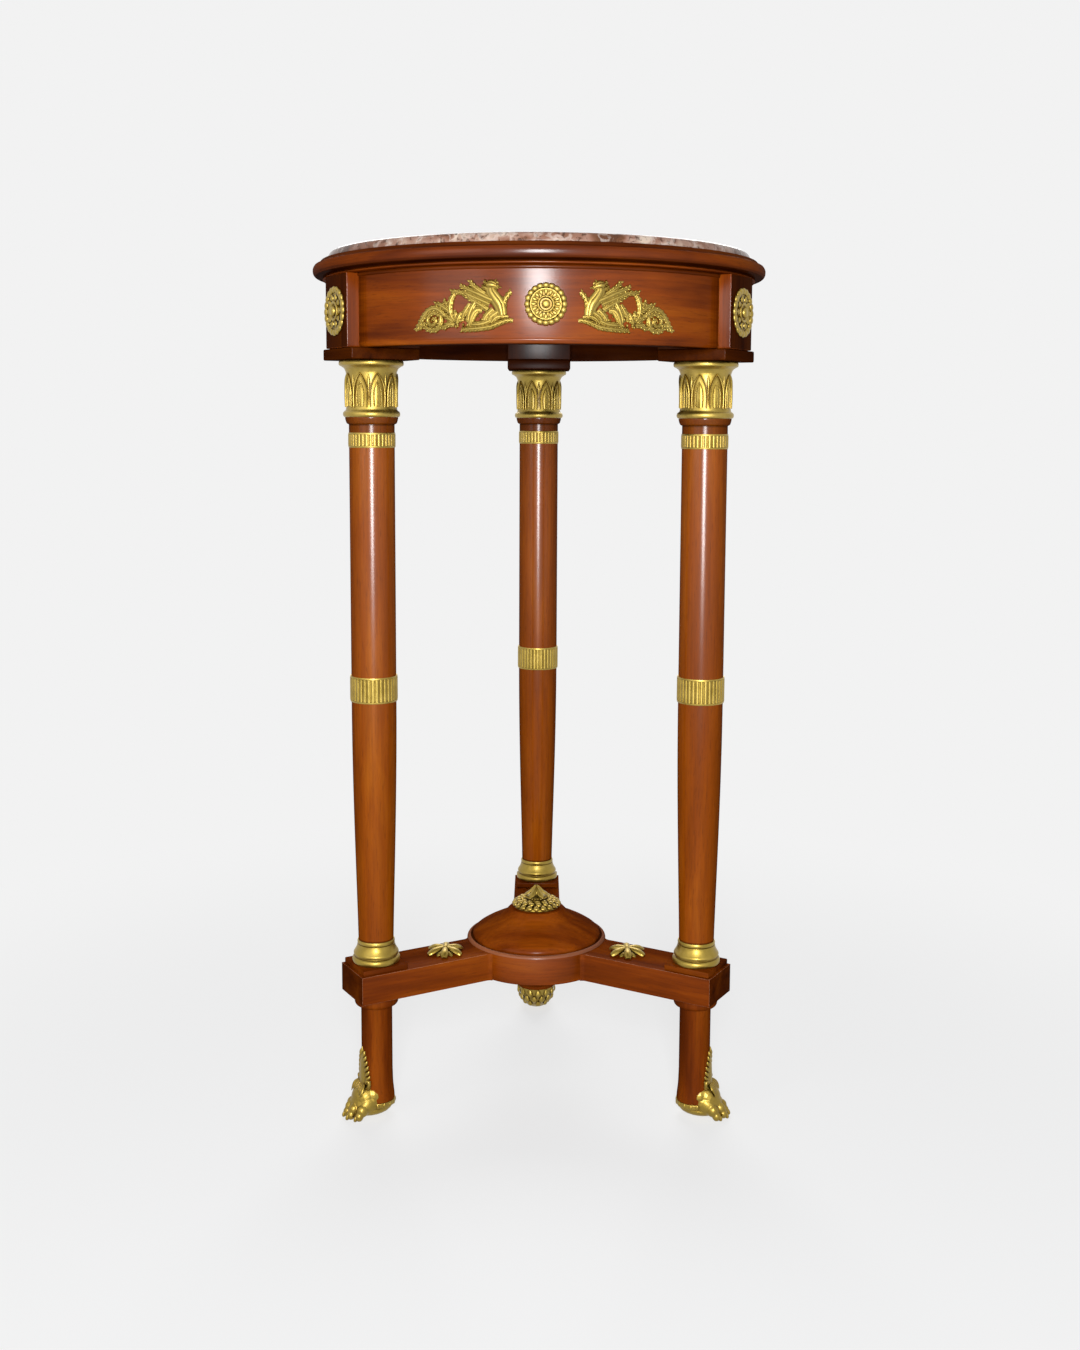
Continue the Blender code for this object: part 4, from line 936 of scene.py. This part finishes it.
# Painted shade and shadow: darker at the neck, in the line below the flare and at the foot.
shaft_ends = []
for face in shaft[1]:
    heights = shaft[0][list(face), 2]
    painted_shade = NECK_SHADE * float(heights.min() > neck_level - 0.004)
    if heights.max() < shaft_foot + 0.0022:
        painted_shade = FOOT_SHADE
    elif shaft_top - 0.0077 < heights.min() and heights.max() < shaft_top - 0.0059:
        painted_shade = FLARE_LINE_SHADE
    shaft_ends.append(painted_shade)
publish_three("shaft_turning_", "column_shaft_", shift(shaft, leg_axis), straight_mahogany, "mahogany",
              shaft[0][:, [2, 0, 1]], drift=(0.61, 0.23, 0.0), ends=shaft_ends)


# Collars. Gilt bronze sleeves on each column, one at mid height and a narrower one under the
# capital, each in a shallow seat turned in the shaft. Fine upright reeds are chased between two
# plain edges.
REEDS = 34


def reeded_sleeve(bore, outside, low, high):
    """Sleeve with plain edges and upright reeds between them."""
    edge = 0.0014
    rounded = outside - 0.0002
    bed = outside - 0.0006
    sleeve = turned(moulding(
        (bore, low), [(rounded, low)], [(outside, low + 0.3 * edge)], [(outside, low + edge)],
        [(bed, low + 1.2 * edge)], [(bed, high - 1.2 * edge)], [(outside, high - edge)],
        [(outside, high - 0.3 * edge)], [(rounded, high)], [(bore, high)]), 2 * REEDS, ring=True)
    length = 1000 * (high - low - 2.2 * edge)
    half = 1000 * math.pi * outside / REEDS * 0.80
    reed = chased([(0.55, [(0, 0, half), (0, 0.5 * length, half), (0, length, half)])], steps=2)
    return joined(sleeve, ring_of(wrapped(reed, bed - 0.0001, low + 1.1 * edge), REEDS))


for side, degrees in SIDES.items():
    for level_name, collar_reach in (("lower", 0.0214), ("upper", 0.0209)):
        collar_low, collar_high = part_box(level_name + "_collar_" + side)
        collar = reeded_sleeve(0.0202, collar_reach, collar_low.z, collar_high.z)
        publish(level_name + "_reeded_ring_" + side, turn(shift(collar, leg_axis), degrees), gilt,
                "gilt_bronze", [level_name + "_collar_" + side], sharp=40.0)


# Capitals. Cast and gilt bronze, slipped over the shaft's tenon: a full bead, a narrow hollow, a tall
# row of lancet leaves inside raised pointed arches, a hollow and a burnished top ring.
CAPITAL_LEAVES = 9
cap_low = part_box("capital_rear")[0]
cap_line = moulding(
    (0.0083, 0.0), [(0.0238, 0.0)],
    [(0.0249, 0.0008), (0.0254, 0.0024), (0.0251, 0.0042), (0.0241, 0.0054)], [(0.0235, 0.0056)],
    [(0.0228, 0.0068), (0.0225, 0.0088)], [(0.0222, 0.0200), (0.0224, 0.0380)],
    [(0.0228, 0.0400), (0.0241, 0.0428), (0.0266, 0.0447)], [(0.0274, 0.0450)],
    [(0.0285, 0.0458), (0.0288, 0.0474), (0.0284, 0.0490), (0.0276, 0.0497)], [(0.0083, 0.0497)])
lancet = [(0.18, [(0, 1.0, 2.6), (0, 8, 3.7), (0, 15, 3.1), (0, 23.5, 0.5)]),
          (2.2, [(0, 1.0, 0.6), (0, 21.5, 0.3)])]
for lean in (-1, 1):
    lancet.append((2.2, [(lean * 6.1, 0.3, 0.6), (lean * 6.4, 9, 0.75), (lean * 5.6, 18, 0.75),
                         (lean * 3.1, 25, 0.75), (0, 29.8, 0.5)]))
    lancet.append((1.6, [(lean * 2.9, 1.0, 0.4), (lean * 3.2, 9, 0.5), (lean * 2.6, 16, 0.5), (0, 23, 0.3)]))
lancet.append((0.8, [(7.78, 2.0, 0.3), (7.78, 13.0, 0.45), (7.78, 22.0, 1.5), (7.78, 29.0, 0.3)]))
leaf_row = ring_of(wrapped(chased(lancet), 0.0223, 0.0086), CAPITAL_LEAVES)
capital = shift(joined(turned(cap_line, 64, ring=True), leaf_row), leg_axis, 0, cap_low.z)
publish_three("leaf_capital_", "capital_", capital, gilt, "gilt_bronze", sharp=40.0)


# Abaci. Square mahogany boards between each capital and the apron, wider than the capital.
# They are only waxed, so they are dull, and their arrises are eased. Darker colours and a strong
# end_grain_and_painted_light value paint them dark, as painted shade under the drum.
ABACUS_SHADE = 0.85
abacus_low, abacus_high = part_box("abacus_rear")
waxed_mahogany = polished_mahogany("waxed_mahogany", "#4E1D04", "#743206", "#8E440A", gloss=0.28,
                                   skin_rough=0.30)
abacus = square_board(abacus_low, abacus_high, 0.0012)
publish_three("abacus_board_", "abacus_", shift(abacus, leg_axis), waxed_mahogany, "mahogany",
              abacus[0][:, [1, 2, 0]] + np.array((0.9, 0.0, 0.0)), drift=(0.31, 0.0, 0.0),
              ends=[ABACUS_SHADE] * len(abacus[1]))


# Apron blocks. Mahogany posts over the columns that join the apron's panels; the part that shows
# stands proud of the drum with a flat face and square returns. The grain runs upright. The outer and
# the inner face are painted dark, as painted shade.
BLOCK_SHADE = 0.95
block_low, block_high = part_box("apron_block_rear")
block_half = 0.0240
post_half = (block_high.x - block_low.x) / 2
post_outer = 0.1734
block_plan = [(block_low.y, -post_half), (post_outer, -post_half), (post_outer, -block_half),
              (block_high.y, -block_half), (block_high.y, block_half), (post_outer, block_half),
              (post_outer, post_half), (block_low.y, post_half)]
block = eased(prism(block_plan, block_low.z, block_high.z), 0.0009)
# Painted shade on the outer face and the inner faces.
block_ends = []
for face in block[1]:
    reach = block[0][list(face), 0]
    shaded_face = reach.min() > block_high.y - 0.0002 or reach.max() < block_high.y - 0.02
    block_ends.append(BLOCK_SHADE * float(shaded_face))
publish_three("apron_post_", "apron_block_", block, mahogany, "mahogany", block[0][:, [2, 1, 0]],
              drift=(0.45, 0.17, 0.0), ends=block_ends)


# Apron panels. Three bent mahogany panels between the blocks, veneered with the grain running
# round the drum, with a thin bead at the top edge and a rounded lower edge. Painted shade darkens
# them along the blocks, under the rim and on the inside.
PANELS = {"front": 270.0, "right": 30.0, "left": 150.0}
CORNER_SHADE = (0.62, 0.38, 0.18)
BEAD_DEPTH = 0.0034
BEAD_SHADE = 0.50
UPPER_DEPTH = 0.0080
UPPER_SHADE = 0.08
INNER_SHADE = 0.95
drum_radius = 0.1950
panel_low, panel_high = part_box("apron_panel_front")
panel_rise = panel_high.z - panel_low.z
panel_section = moulding(
    (-0.018, 0.0), [(-0.0022, 0.0)], [(-0.0007, 0.0006), (0.0, 0.0022)],
    [(0.0002, 0.0034), (-0.0002, 0.0046)], [(-0.0002, panel_rise - UPPER_DEPTH)],
    [(-0.0002, panel_rise - BEAD_DEPTH)],
    [(0.0007, panel_rise - 0.0026), (0.0010, panel_rise - 0.0014), (0.0002, panel_rise)],
    [(-0.018, panel_rise)])
panel_steps = 90
panel_points = []
panel_faces = []
panel_grain = []
count = len(panel_section)
for step in range(panel_steps + 1):
    for out, up in panel_section:
        radius = drum_radius + out
        height = panel_low.z + up
        reach = math.pi / 3 - math.asin((block_half + FIT) / radius)
        angle = reach * (2 * step / panel_steps - 1)
        panel_points.append((radius * math.cos(angle), radius * math.sin(angle), height))
        panel_grain.append((drum_radius * angle, height, radius))
for step in range(panel_steps):
    for index in range(count):
        after = (index + 1) % count
        start = step * count
        panel_faces.append((start + index, start + after, start + count + after, start + count + index))
panel_faces.append(tuple(range(count)))
panel_faces.append(tuple(range(panel_steps * count, (panel_steps + 1) * count)))
panel = np.array(panel_points), panel_faces
panel_reach = np.hypot(panel[0][:, 0], panel[0][:, 1])
# Painted shade: darker next to the blocks, on the bead and upper edge under the rim, and on the inner face.
panel_ends = []
for number, face in enumerate(panel_faces):
    step = number // count
    from_block = min(step, panel_steps - 1 - step)
    painted_shade = CORNER_SHADE[from_block] if 0 <= from_block < len(CORNER_SHADE) else 0.0
    height = panel[0][list(face), 2].mean()
    if panel_reach[list(face)].min() < drum_radius - 0.01:
        painted_shade = INNER_SHADE
    elif height > panel_high.z - BEAD_DEPTH:
        painted_shade = max(painted_shade, BEAD_SHADE)
    elif height > panel_high.z - UPPER_DEPTH:
        painted_shade = max(painted_shade, UPPER_SHADE)
    panel_ends.append(painted_shade)
for index, (side, degrees) in enumerate(PANELS.items()):
    publish("drum_panel_" + side, turn(panel, degrees), mahogany, "mahogany", ["apron_panel_" + side],
            np.array(panel_grain) + np.array((0.83 * index, 0.37 * index, 0.0)), ends=panel_ends)


# Rosettes. Gilt bronze flowers cast in one and pinned through the middle: an edge of broad round
# lobes, a dark quirk, a dished ring of low leaves and a bright button in a raised collar. Those on the
# blocks are broader and more open.
EDGE_LOBES = 20
MODEL_RADIUS = 0.0175
MODEL_DEPTH = 0.0055


def flower(radius, depth, dish, lift, leaves, half, relief):
    """Flower that faces +Z, scaled from a model; its leaves lie the lift above the floor of the dish."""
    core = turned(moulding(
        (0.0, 0.0), [(0.0152, 0.0)], [(0.0160, 0.0006), (0.0160, 0.0016), (0.0150, 0.0023)],
        [(0.0138, 0.0024)], [(0.0131, dish + 0.0001)],
        [(0.0124, dish + 0.0010), (0.0095, dish), (0.0072, dish + 0.0001)],
        [(0.0070, 0.0026), (0.0062, 0.0032), (0.0054, 0.0028)], [(0.0048, 0.0012)], [(0.0036, 0.0012)],
        [(0.0033, 0.0036), (0.0023, 0.0050), (0.0, 0.0055)]), 72)
    lobe = ball((0.0150, 0, 0.0012), (0.0025, 0.0031, 0.0021))
    bed = dish + lift
    petal_fall = [(0.0071, bed), (0.0095, bed + 0.0001), (0.0126, bed + 0.0011)]
    petal = laid_along(leaf(5.4, half, relief, rib=0.35), petal_fall)
    whole = joined(core, ring_of(lobe, EDGE_LOBES), ring_of(petal, leaves))
    return stretched(whole, radius / MODEL_RADIUS, radius / MODEL_RADIUS, depth / MODEL_DEPTH)


def on_drum(shape, along, height):
    """Bend a flat mount (x along, y up, z out) on to the drum, facing +X."""
    x, y, out = shape[0].T
    angle = (x + along) / drum_radius
    reach = drum_radius + FIT + out
    return np.stack([reach * np.cos(angle), reach * np.sin(angle), height + y], 1), shape[1]


apron_middle = (panel_low.z + panel_high.z) / 2
front_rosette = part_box("panel_rosette_front")
mount_shifts = {"front": (front_rosette[0].x + front_rosette[1].x) / 2, "right": 0.0, "left": 0.0}
panel_flower = flower(radius=0.0175, depth=0.0055, dish=0.0013, lift=0.0, leaves=16, half=1.5, relief=0.55)
block_flower = flower(radius=0.0215, depth=0.0050, dish=0.0002, lift=0.0013, leaves=10, half=2.0,
                      relief=0.80)
for side, degrees in PANELS.items():
    mounted = on_drum(panel_flower, mount_shifts[side], apron_middle)
    publish("edge_flower_" + side, turn(mounted, degrees), gilt, "gilt_bronze", ["panel_rosette_" + side],
            sharp=50.0)
block_flower = shift((block_flower[0][:, [2, 0, 1]], block_flower[1]), block_high.y + FIT, 0, apron_middle)
publish_three("block_flower_", "block_rosette_", block_flower, gilt, "gilt_bronze", sharp=50.0)


# Griffin mounts. Pairs of gilt bronze griffins that face the flower, cast in open work and pinned
# to the drum: head and crest, lifted wing, haunch and paws on a leafy ground, and a tail that runs
# out into acanthus and ends in a curled scroll.
def strands(strokes):
    """Lay a plump rib along each stroke on a thin, wider ground, as the chaser does."""
    laid = []
    for relief, line in strokes:
        laid.append((0.46 * relief, [(x, y, 1.40 * half + 0.45) for x, y, half in line]))
        laid.append((1.25 * relief, [(x, y, max(0.40, 0.86 * half)) for x, y, half in line]))
    return laid


def toothed(strokes):
    """Plump leaf teeth along both edges of each stroke, about 4 mm apart on a side."""
    teeth = []
    for relief, line in strokes:
        fine = np.array(smooth_run(line, 8))
        slope = np.gradient(fine[:, :2], axis=0)
        slope = slope / np.linalg.norm(slope, axis=1)[:, None]
        across = np.stack([-slope[:, 1], slope[:, 0]], 1)
        run = np.concatenate([[0.0], np.cumsum(np.linalg.norm(np.diff(fine[:, :2], axis=0), axis=1))])
        for number, place in enumerate(np.arange(0.9, run[-1] - 1.0, 1.9)):
            spot = int(np.searchsorted(run, place))
            lean = 1 if number % 2 else -1
            wide = fine[spot, 2]
            root = fine[spot, :2] + 0.55 * wide * lean * across[spot]
            bend = fine[spot, :2] + (0.95 * wide + 0.3) * lean * across[spot] + 1.1 * slope[spot]
            tip = fine[spot, :2] + (1.15 * wide + 0.8) * lean * across[spot] + 2.6 * slope[spot]
            teeth.append((1.5 * relief, [(*root, 0.50), (*bend, 1.05), (*tip, 0.45)]))
    return teeth


griffin_lines = [
    (1.0, [(34.4, -6.0, 1.5), (33.8, 2.0, 1.4), (31.4, 6.4, 1.1), (28.4, 10.0, 0.9)]),
    (1.1, [(26.6, -13.4, 0.9), (31.0, -13.0, 1.3), (38.0, -15.2, 1.4), (45.0, -18.0, 1.5),
           (54.0, -19.2, 1.5), (62.0, -19.8, 1.4), (70.0, -20.4, 0.8)]),
    (1.0, [(30.5, -10.6, 0.8), (36.0, -9.6, 1.5), (41.0, -11.2, 1.7), (44.6, -15.4, 1.2)]),
    (0.9, [(35.6, -9.0, 2.6), (37.4, -1.0, 3.6), (41.2, 4.4, 3.5), (44.6, 9.6, 3.0), (45.2, 13.0, 2.4)]),
    (1.0, [(47.6, 15.6, 2.2), (44.6, 15.4, 2.9), (41.0, 14.6, 1.9), (38.6, 12.6, 0.6)]),
    (1.2, [(42.4, 16.6, 0.9), (40.6, 17.6, 0.7), (39.0, 16.2, 0.4)]),
    (1.2, [(45.2, 16.0, 1.0), (45.6, 18.2, 0.5)]),
    (1.2, [(47.4, 15.0, 1.1), (49.4, 17.0, 0.8), (51.0, 18.4, 0.4)]),
    (1.1, [(48.0, 12.0, 1.1), (50.6, 13.4, 0.8), (52.8, 13.2, 0.3)]),
    (0.9, [(50.0, 8.0, 1.4), (56.0, 11.6, 1.6), (60.4, 15.4, 1.2), (63.0, 19.2, 0.4)]),
    (0.9, [(39.0, 1.4, 1.6), (47.5, 4.6, 2.2), (58.0, 9.4, 1.9), (66.0, 12.6, 1.4), (71.6, 15.4, 0.4)]),
    (0.9, [(46.0, 0.0, 1.6), (55.0, 4.0, 1.8), (63.0, 7.4, 1.5), (69.6, 10.6, 0.9)]),
    (0.9, [(47.5, -4.6, 1.4), (54.0, -0.4, 1.7), (60.5, 3.4, 1.3), (66.0, 6.6, 0.6)]),
    (0.9, [(43.0, -4.0, 1.5), (48.0, -8.6, 1.7), (50.6, -13.0, 1.3), (49.6, -16.4, 0.9)]),
    (0.9, [(39.0, -6.4, 1.7), (44.0, -9.6, 1.8), (47.0, -13.6, 1.3)]),
    (0.9, [(52.0, -5.0, 1.2), (56.6, -4.6, 2.2), (60.2, -8.2, 2.4), (62.2, -14.0, 1.8), (63.4, -18.0, 1.1)]),
    (0.9, [(58.0, 2.0, 1.3), (61.0, -3.0, 1.9), (63.6, -9.0, 1.7), (64.4, -14.0, 1.2)]),
    (0.9, [(62.6, 0.6, 1.0), (66.0, -5.0, 1.6), (69.0, -9.4, 1.2), (69.4, -13.4, 0.6)]),
    (1.0, [(45.0, -13.0, 1.5), (51.6, -15.8, 1.8), (58.6, -16.4, 1.6), (63.0, -16.8, 0.9)]),
    (1.0, [(65.4, 6.2, 0.9), (69.4, 9.4, 1.1), (75.4, 10.2, 1.2), (79.4, 11.0, 0.4)]),
    (1.0, [(76.0, 9.0, 1.0), (79.0, 4.4, 1.6), (80.4, -2.4, 1.6), (79.0, -9.0, 1.4), (75.6, -14.0, 1.0)]),
    (1.0, [(81.6, -3.0, 0.9), (83.8, 0.6, 1.1), (86.0, 4.0, 0.4)]),
    (1.0, [(70.2, -6.4, 0.7), (72.4, -10.4, 1.7), (74.2, -15.0, 0.9), (73.4, -18.0, 0.4)]),
    (1.0, [(76.4, -4.4, 0.5), (75.4, -8.0, 1.3), (75.8, -12.0, 0.7)]),
    (1.0, [(78.0, -13.6, 1.2), (81.6, -10.8, 1.4), (85.4, -7.6, 0.6)]),
    (1.0, [(76.0, -16.6, 1.0), (80.4, -15.6, 1.6), (84.6, -17.4, 1.3), (88.0, -18.8, 0.7)]),
    (1.0, [(80.8, -5.6, 1.0), (85.6, -2.0, 1.5), (90.0, 0.2, 1.2), (94.2, 1.4, 0.4)]),
    (1.0, [(84.0, -9.6, 0.9), (88.4, -5.6, 1.5), (93.4, -2.6, 1.7), (100.0, -4.2, 1.6), (105.6, -9.8, 1.5),
           (109.6, -15.8, 1.2), (113.2, -20.2, 0.6)]),
    (1.1, [(89.0, -9.4, 0.8), (93.6, -6.2, 1.1), (98.6, -7.6, 1.3), (101.4, -12.0, 1.3), (98.6, -16.0, 1.2),
           (94.6, -15.4, 1.1), (93.6, -11.8, 1.0), (96.6, -10.6, 0.8)]),
    (1.0, [(88.6, -8.0, 1.0), (88.8, -13.0, 1.7), (90.4, -17.4, 1.5), (94.6, -20.0, 1.3),
           (100.0, -19.6, 1.2), (105.4, -16.8, 0.7)]),
    (1.0, [(103.0, -14.0, 0.7), (106.6, -16.0, 1.2), (110.0, -19.0, 0.8)]),
]
berry_places = ((68.4, -16.4, 1.6), (55.6, -9.6, 1.0), (54.0, -12.2, 1.0), (86.6, -12.4, 1.1),
                (110.8, -17.6, 1.0), (82.4, -13.6, 1.0), (96.8, -12.8, 1.0), (66.6, -18.6, 1.0),
                (34.0, -11.6, 1.0), (72.4, 12.0, 0.8))
berries = []
for x, y, half in berry_places:
    berries.append((1.2, [(x - 0.6 * half, y, 0.5 * half), (x, y, half), (x + 0.6 * half, y, 0.5 * half)]))
griffin = joined(chased(strands(griffin_lines) + berries, steps=2),
                 chased(toothed(griffin_lines), steps=2, section=5))
griffins = {"east": griffin, "west": stretched(griffin, x=-1.0)}
for side, degrees in PANELS.items():
    for hand, mount in griffins.items():
        mounted = on_drum(mount, mount_shifts[side], apron_middle)
        publish("griffin_mount_" + hand + "_" + side, turn(mounted, degrees), gilt, "gilt_bronze",
                ["griffin_" + hand + "_" + side], sharp=55.0)


# Top rim. A turned mahogany moulding round the top: a small bead on the drum, a quirk, a bold
# half-round nose and a small cove that runs up to the marble. It is glued up from curved lengths.
# Painted shade darkens the cove, the quirk and the band under the nose.
COVE_SHADE = 0.60
QUIRK_SHADE = 0.85
UNDER_NOSE_SHADE = 0.36
rim_low, rim_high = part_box("top_rim")
rim_rise = rim_high.z - rim_low.z
rim_line = moulding(
    (0.1500, 0.0), [(0.1985, 0.0)], [(0.2002, 0.0004), (0.2008, 0.0013), (0.2003, 0.0023)],
    [(0.2000, 0.0028), (0.2020, 0.0031)],
    [(0.2068, 0.0037), (0.2092, 0.0056), (0.2100, 0.0084), (0.2097, 0.0112), (0.2084, 0.0134)],
    [(0.2074, 0.0138)], [(0.2062, 0.0141), (0.2046, 0.0152), (0.2032, 0.0170)], [(0.2026, rim_rise)],
    [(0.1970, rim_rise)], [(0.1970, 0.0082)], [(0.1500, 0.0082)])
rim = turned(rim_line, 160, ring=True)
# Painted shade in the cove, in the quirk and under the nose.
rim_ends = []
for face in rim[1]:
    across, along, up = rim[0][list(face)].mean(axis=0)
    reach = math.hypot(across, along)
    in_cove = up > 0.0136 and reach < 0.2076
    in_quirk = 0.0018 < up < 0.0042 and reach > 0.1990
    under_nose = 0.0042 <= up < 0.0062 and reach > 0.1990
    rim_ends.append(COVE_SHADE if in_cove else QUIRK_SHADE if in_quirk else UNDER_NOSE_SHADE if under_nose else 0.0)
rim = shift(rim, z=rim_low.z)
publish("rim_moulding", rim, mahogany, "mahogany", ["top_rim"],
        round_grain(rim, rim_high.x) + np.array((2.0, 0.0, 0.0)), ends=rim_ends)


# Sub-top. A plain softwood board inside the rim that carries the marble; it shows only from below.
# It is left unpolished, straight from the plane, with growth rings about 6 mm apart.
carcase = bpy.data.materials.new("planed_carcase_pine")
carcase.use_nodes = True
board = carcase.node_tree
board_shader = board.nodes["Principled BSDF"]
board_place = add_node(board, "ShaderNodeTexCoord").outputs["Object"]
board_size = add_node(board, "ShaderNodeMapping",
                      {"Vector": board_place, "Scale": (1 / 0.16, 1 / 0.006, 1 / 0.03)})
board_rings = add_node(board, "ShaderNodeTexNoise",
                       {"Vector": board_size, "Scale": 1.0, "Detail": 4.0, "Distortion": 0.6})
board_tone = add_node(board, "ShaderNodeValToRGB", {"Fac": board_rings},
                      stops=((0.32, "#7A5632"), (0.70, "#B08A58")))
board_bump = add_node(board, "ShaderNodeBump", {"Height": board_rings, "Strength": 0.15, "Distance": 0.0005})
board.links.new(board_tone.outputs[0], board_shader.inputs["Base Color"])
board.links.new(board_bump.outputs[0], board_shader.inputs["Normal"])
board_shader.inputs["Roughness"].default_value = 0.62
sub_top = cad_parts["sub_top"]
sub_top.data.materials.clear()
sub_top.data.materials.append(carcase)


# Marble. A loose disc of brown-pink breccia that lies in the rim's bed by its own weight.
# Pale clouds and small broken pieces sit in a red-brown ground with dark specks of 3 to 4 mm and
# cream veins; the face is polished and the edge is rubbed to a soft round.
stone = bpy.data.materials.new("polished_breccia_marble")
stone.use_nodes = True
rock = stone.node_tree
rock_shader = rock.nodes["Principled BSDF"]
rock_place = add_node(rock, "ShaderNodeTexCoord").outputs["Object"]
rock_warp = add_node(rock, "ShaderNodeTexNoise", {"Vector": rock_place, "Scale": 1 / 0.016, "Detail": 4.0})
rock_push = add_node(rock, "ShaderNodeVectorMath", {0: rock_warp.outputs["Color"], "Scale": 0.016},
                     operation="SCALE")
rock_bent = add_node(rock, "ShaderNodeVectorMath", {0: rock_place, 1: rock_push}, operation="ADD")
clouds = add_node(rock, "ShaderNodeTexNoise", {"Vector": rock_bent, "Scale": 1 / 0.055, "Detail": 4.0})
shards = add_node(rock, "ShaderNodeTexVoronoi", {"Vector": rock_bent, "Scale": 1 / 0.0085},
                  feature="SMOOTH_F1")
shard_mix = add_node(rock, "ShaderNodeSeparateColor", {0: shards.outputs["Color"]})
shard_part = add_node(rock, "ShaderNodeMath", {0: shard_mix, 1: 0.42}, operation="MULTIPLY")
stone_depth = add_node(rock, "ShaderNodeMath", {0: clouds, 1: 1.05, 2: shard_part},
                       operation="MULTIPLY_ADD")
stone_tone = add_node(rock, "ShaderNodeValToRGB", {"Fac": stone_depth},
                      stops=((0.36, "#4C2C1D"), (0.98, "#DAC4B0"), (0.54, "#74492F"), (0.66, "#936650"),
                             (0.77, "#A98270"), (0.88, "#BE9F8C")))
specks = add_node(rock, "ShaderNodeTexNoise", {"Vector": rock_bent, "Scale": 1 / 0.0036, "Detail": 4.0})
speck_mask = add_node(rock, "ShaderNodeMapRange",
                      {"Value": specks, "From Min": 0.55, "From Max": 0.66, "To Max": 0.85})
speck_mix = add_node(rock, "ShaderNodeMix", {"Factor": speck_mask, 6: stone_tone, 7: linear("#4A2C1C")},
                     data_type="RGBA")
veins = add_node(rock, "ShaderNodeTexNoise", {"Vector": rock_bent, "Scale": 1 / 0.03, "Detail": 5.0})
vein_gap = add_node(rock, "ShaderNodeMath", {0: veins, 1: 0.5}, operation="SUBTRACT")
vein_near = add_node(rock, "ShaderNodeMath", {0: vein_gap}, operation="ABSOLUTE")
vein_mask = add_node(rock, "ShaderNodeMapRange",
                     {"Value": vein_near, "From Min": 0.006, "From Max": 0.030, "To Min": 0.50,
                      "To Max": 0.0})
vein_mix = add_node(rock, "ShaderNodeMix",
                    {"Factor": vein_mask, 6: speck_mix.outputs[2], 7: linear("#DDCBBE")},
                    data_type="RGBA")
rock_rough = add_node(rock, "ShaderNodeMapRange", {"Value": specks, "To Min": 0.12, "To Max": 0.26})
rock.links.new(vein_mix.outputs[2], rock_shader.inputs["Base Color"])
rock.links.new(rock_rough.outputs[0], rock_shader.inputs["Roughness"])
rock_shader.inputs["IOR"].default_value = 1.49
rock_shader.inputs["Specular IOR Level"].default_value = 0.25
slab_low, slab_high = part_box("marble_top")
slab = slab_high.z
slab_radius = slab_high.x
slab_line = moulding(
    (0.0, slab_low.z), [(slab_radius - 0.001, slab_low.z)], [(slab_radius, slab_low.z + 0.0015)],
    [(slab_radius, slab - 0.0066)],
    [(slab_radius - 0.0005, slab - 0.0042), (slab_radius - 0.0020, slab - 0.0014),
     (slab_radius - 0.0042, slab)], [(0.0, slab)])
publish("marble_disc", turned(slab_line, 160), stone, "marble", ["marble_top"])
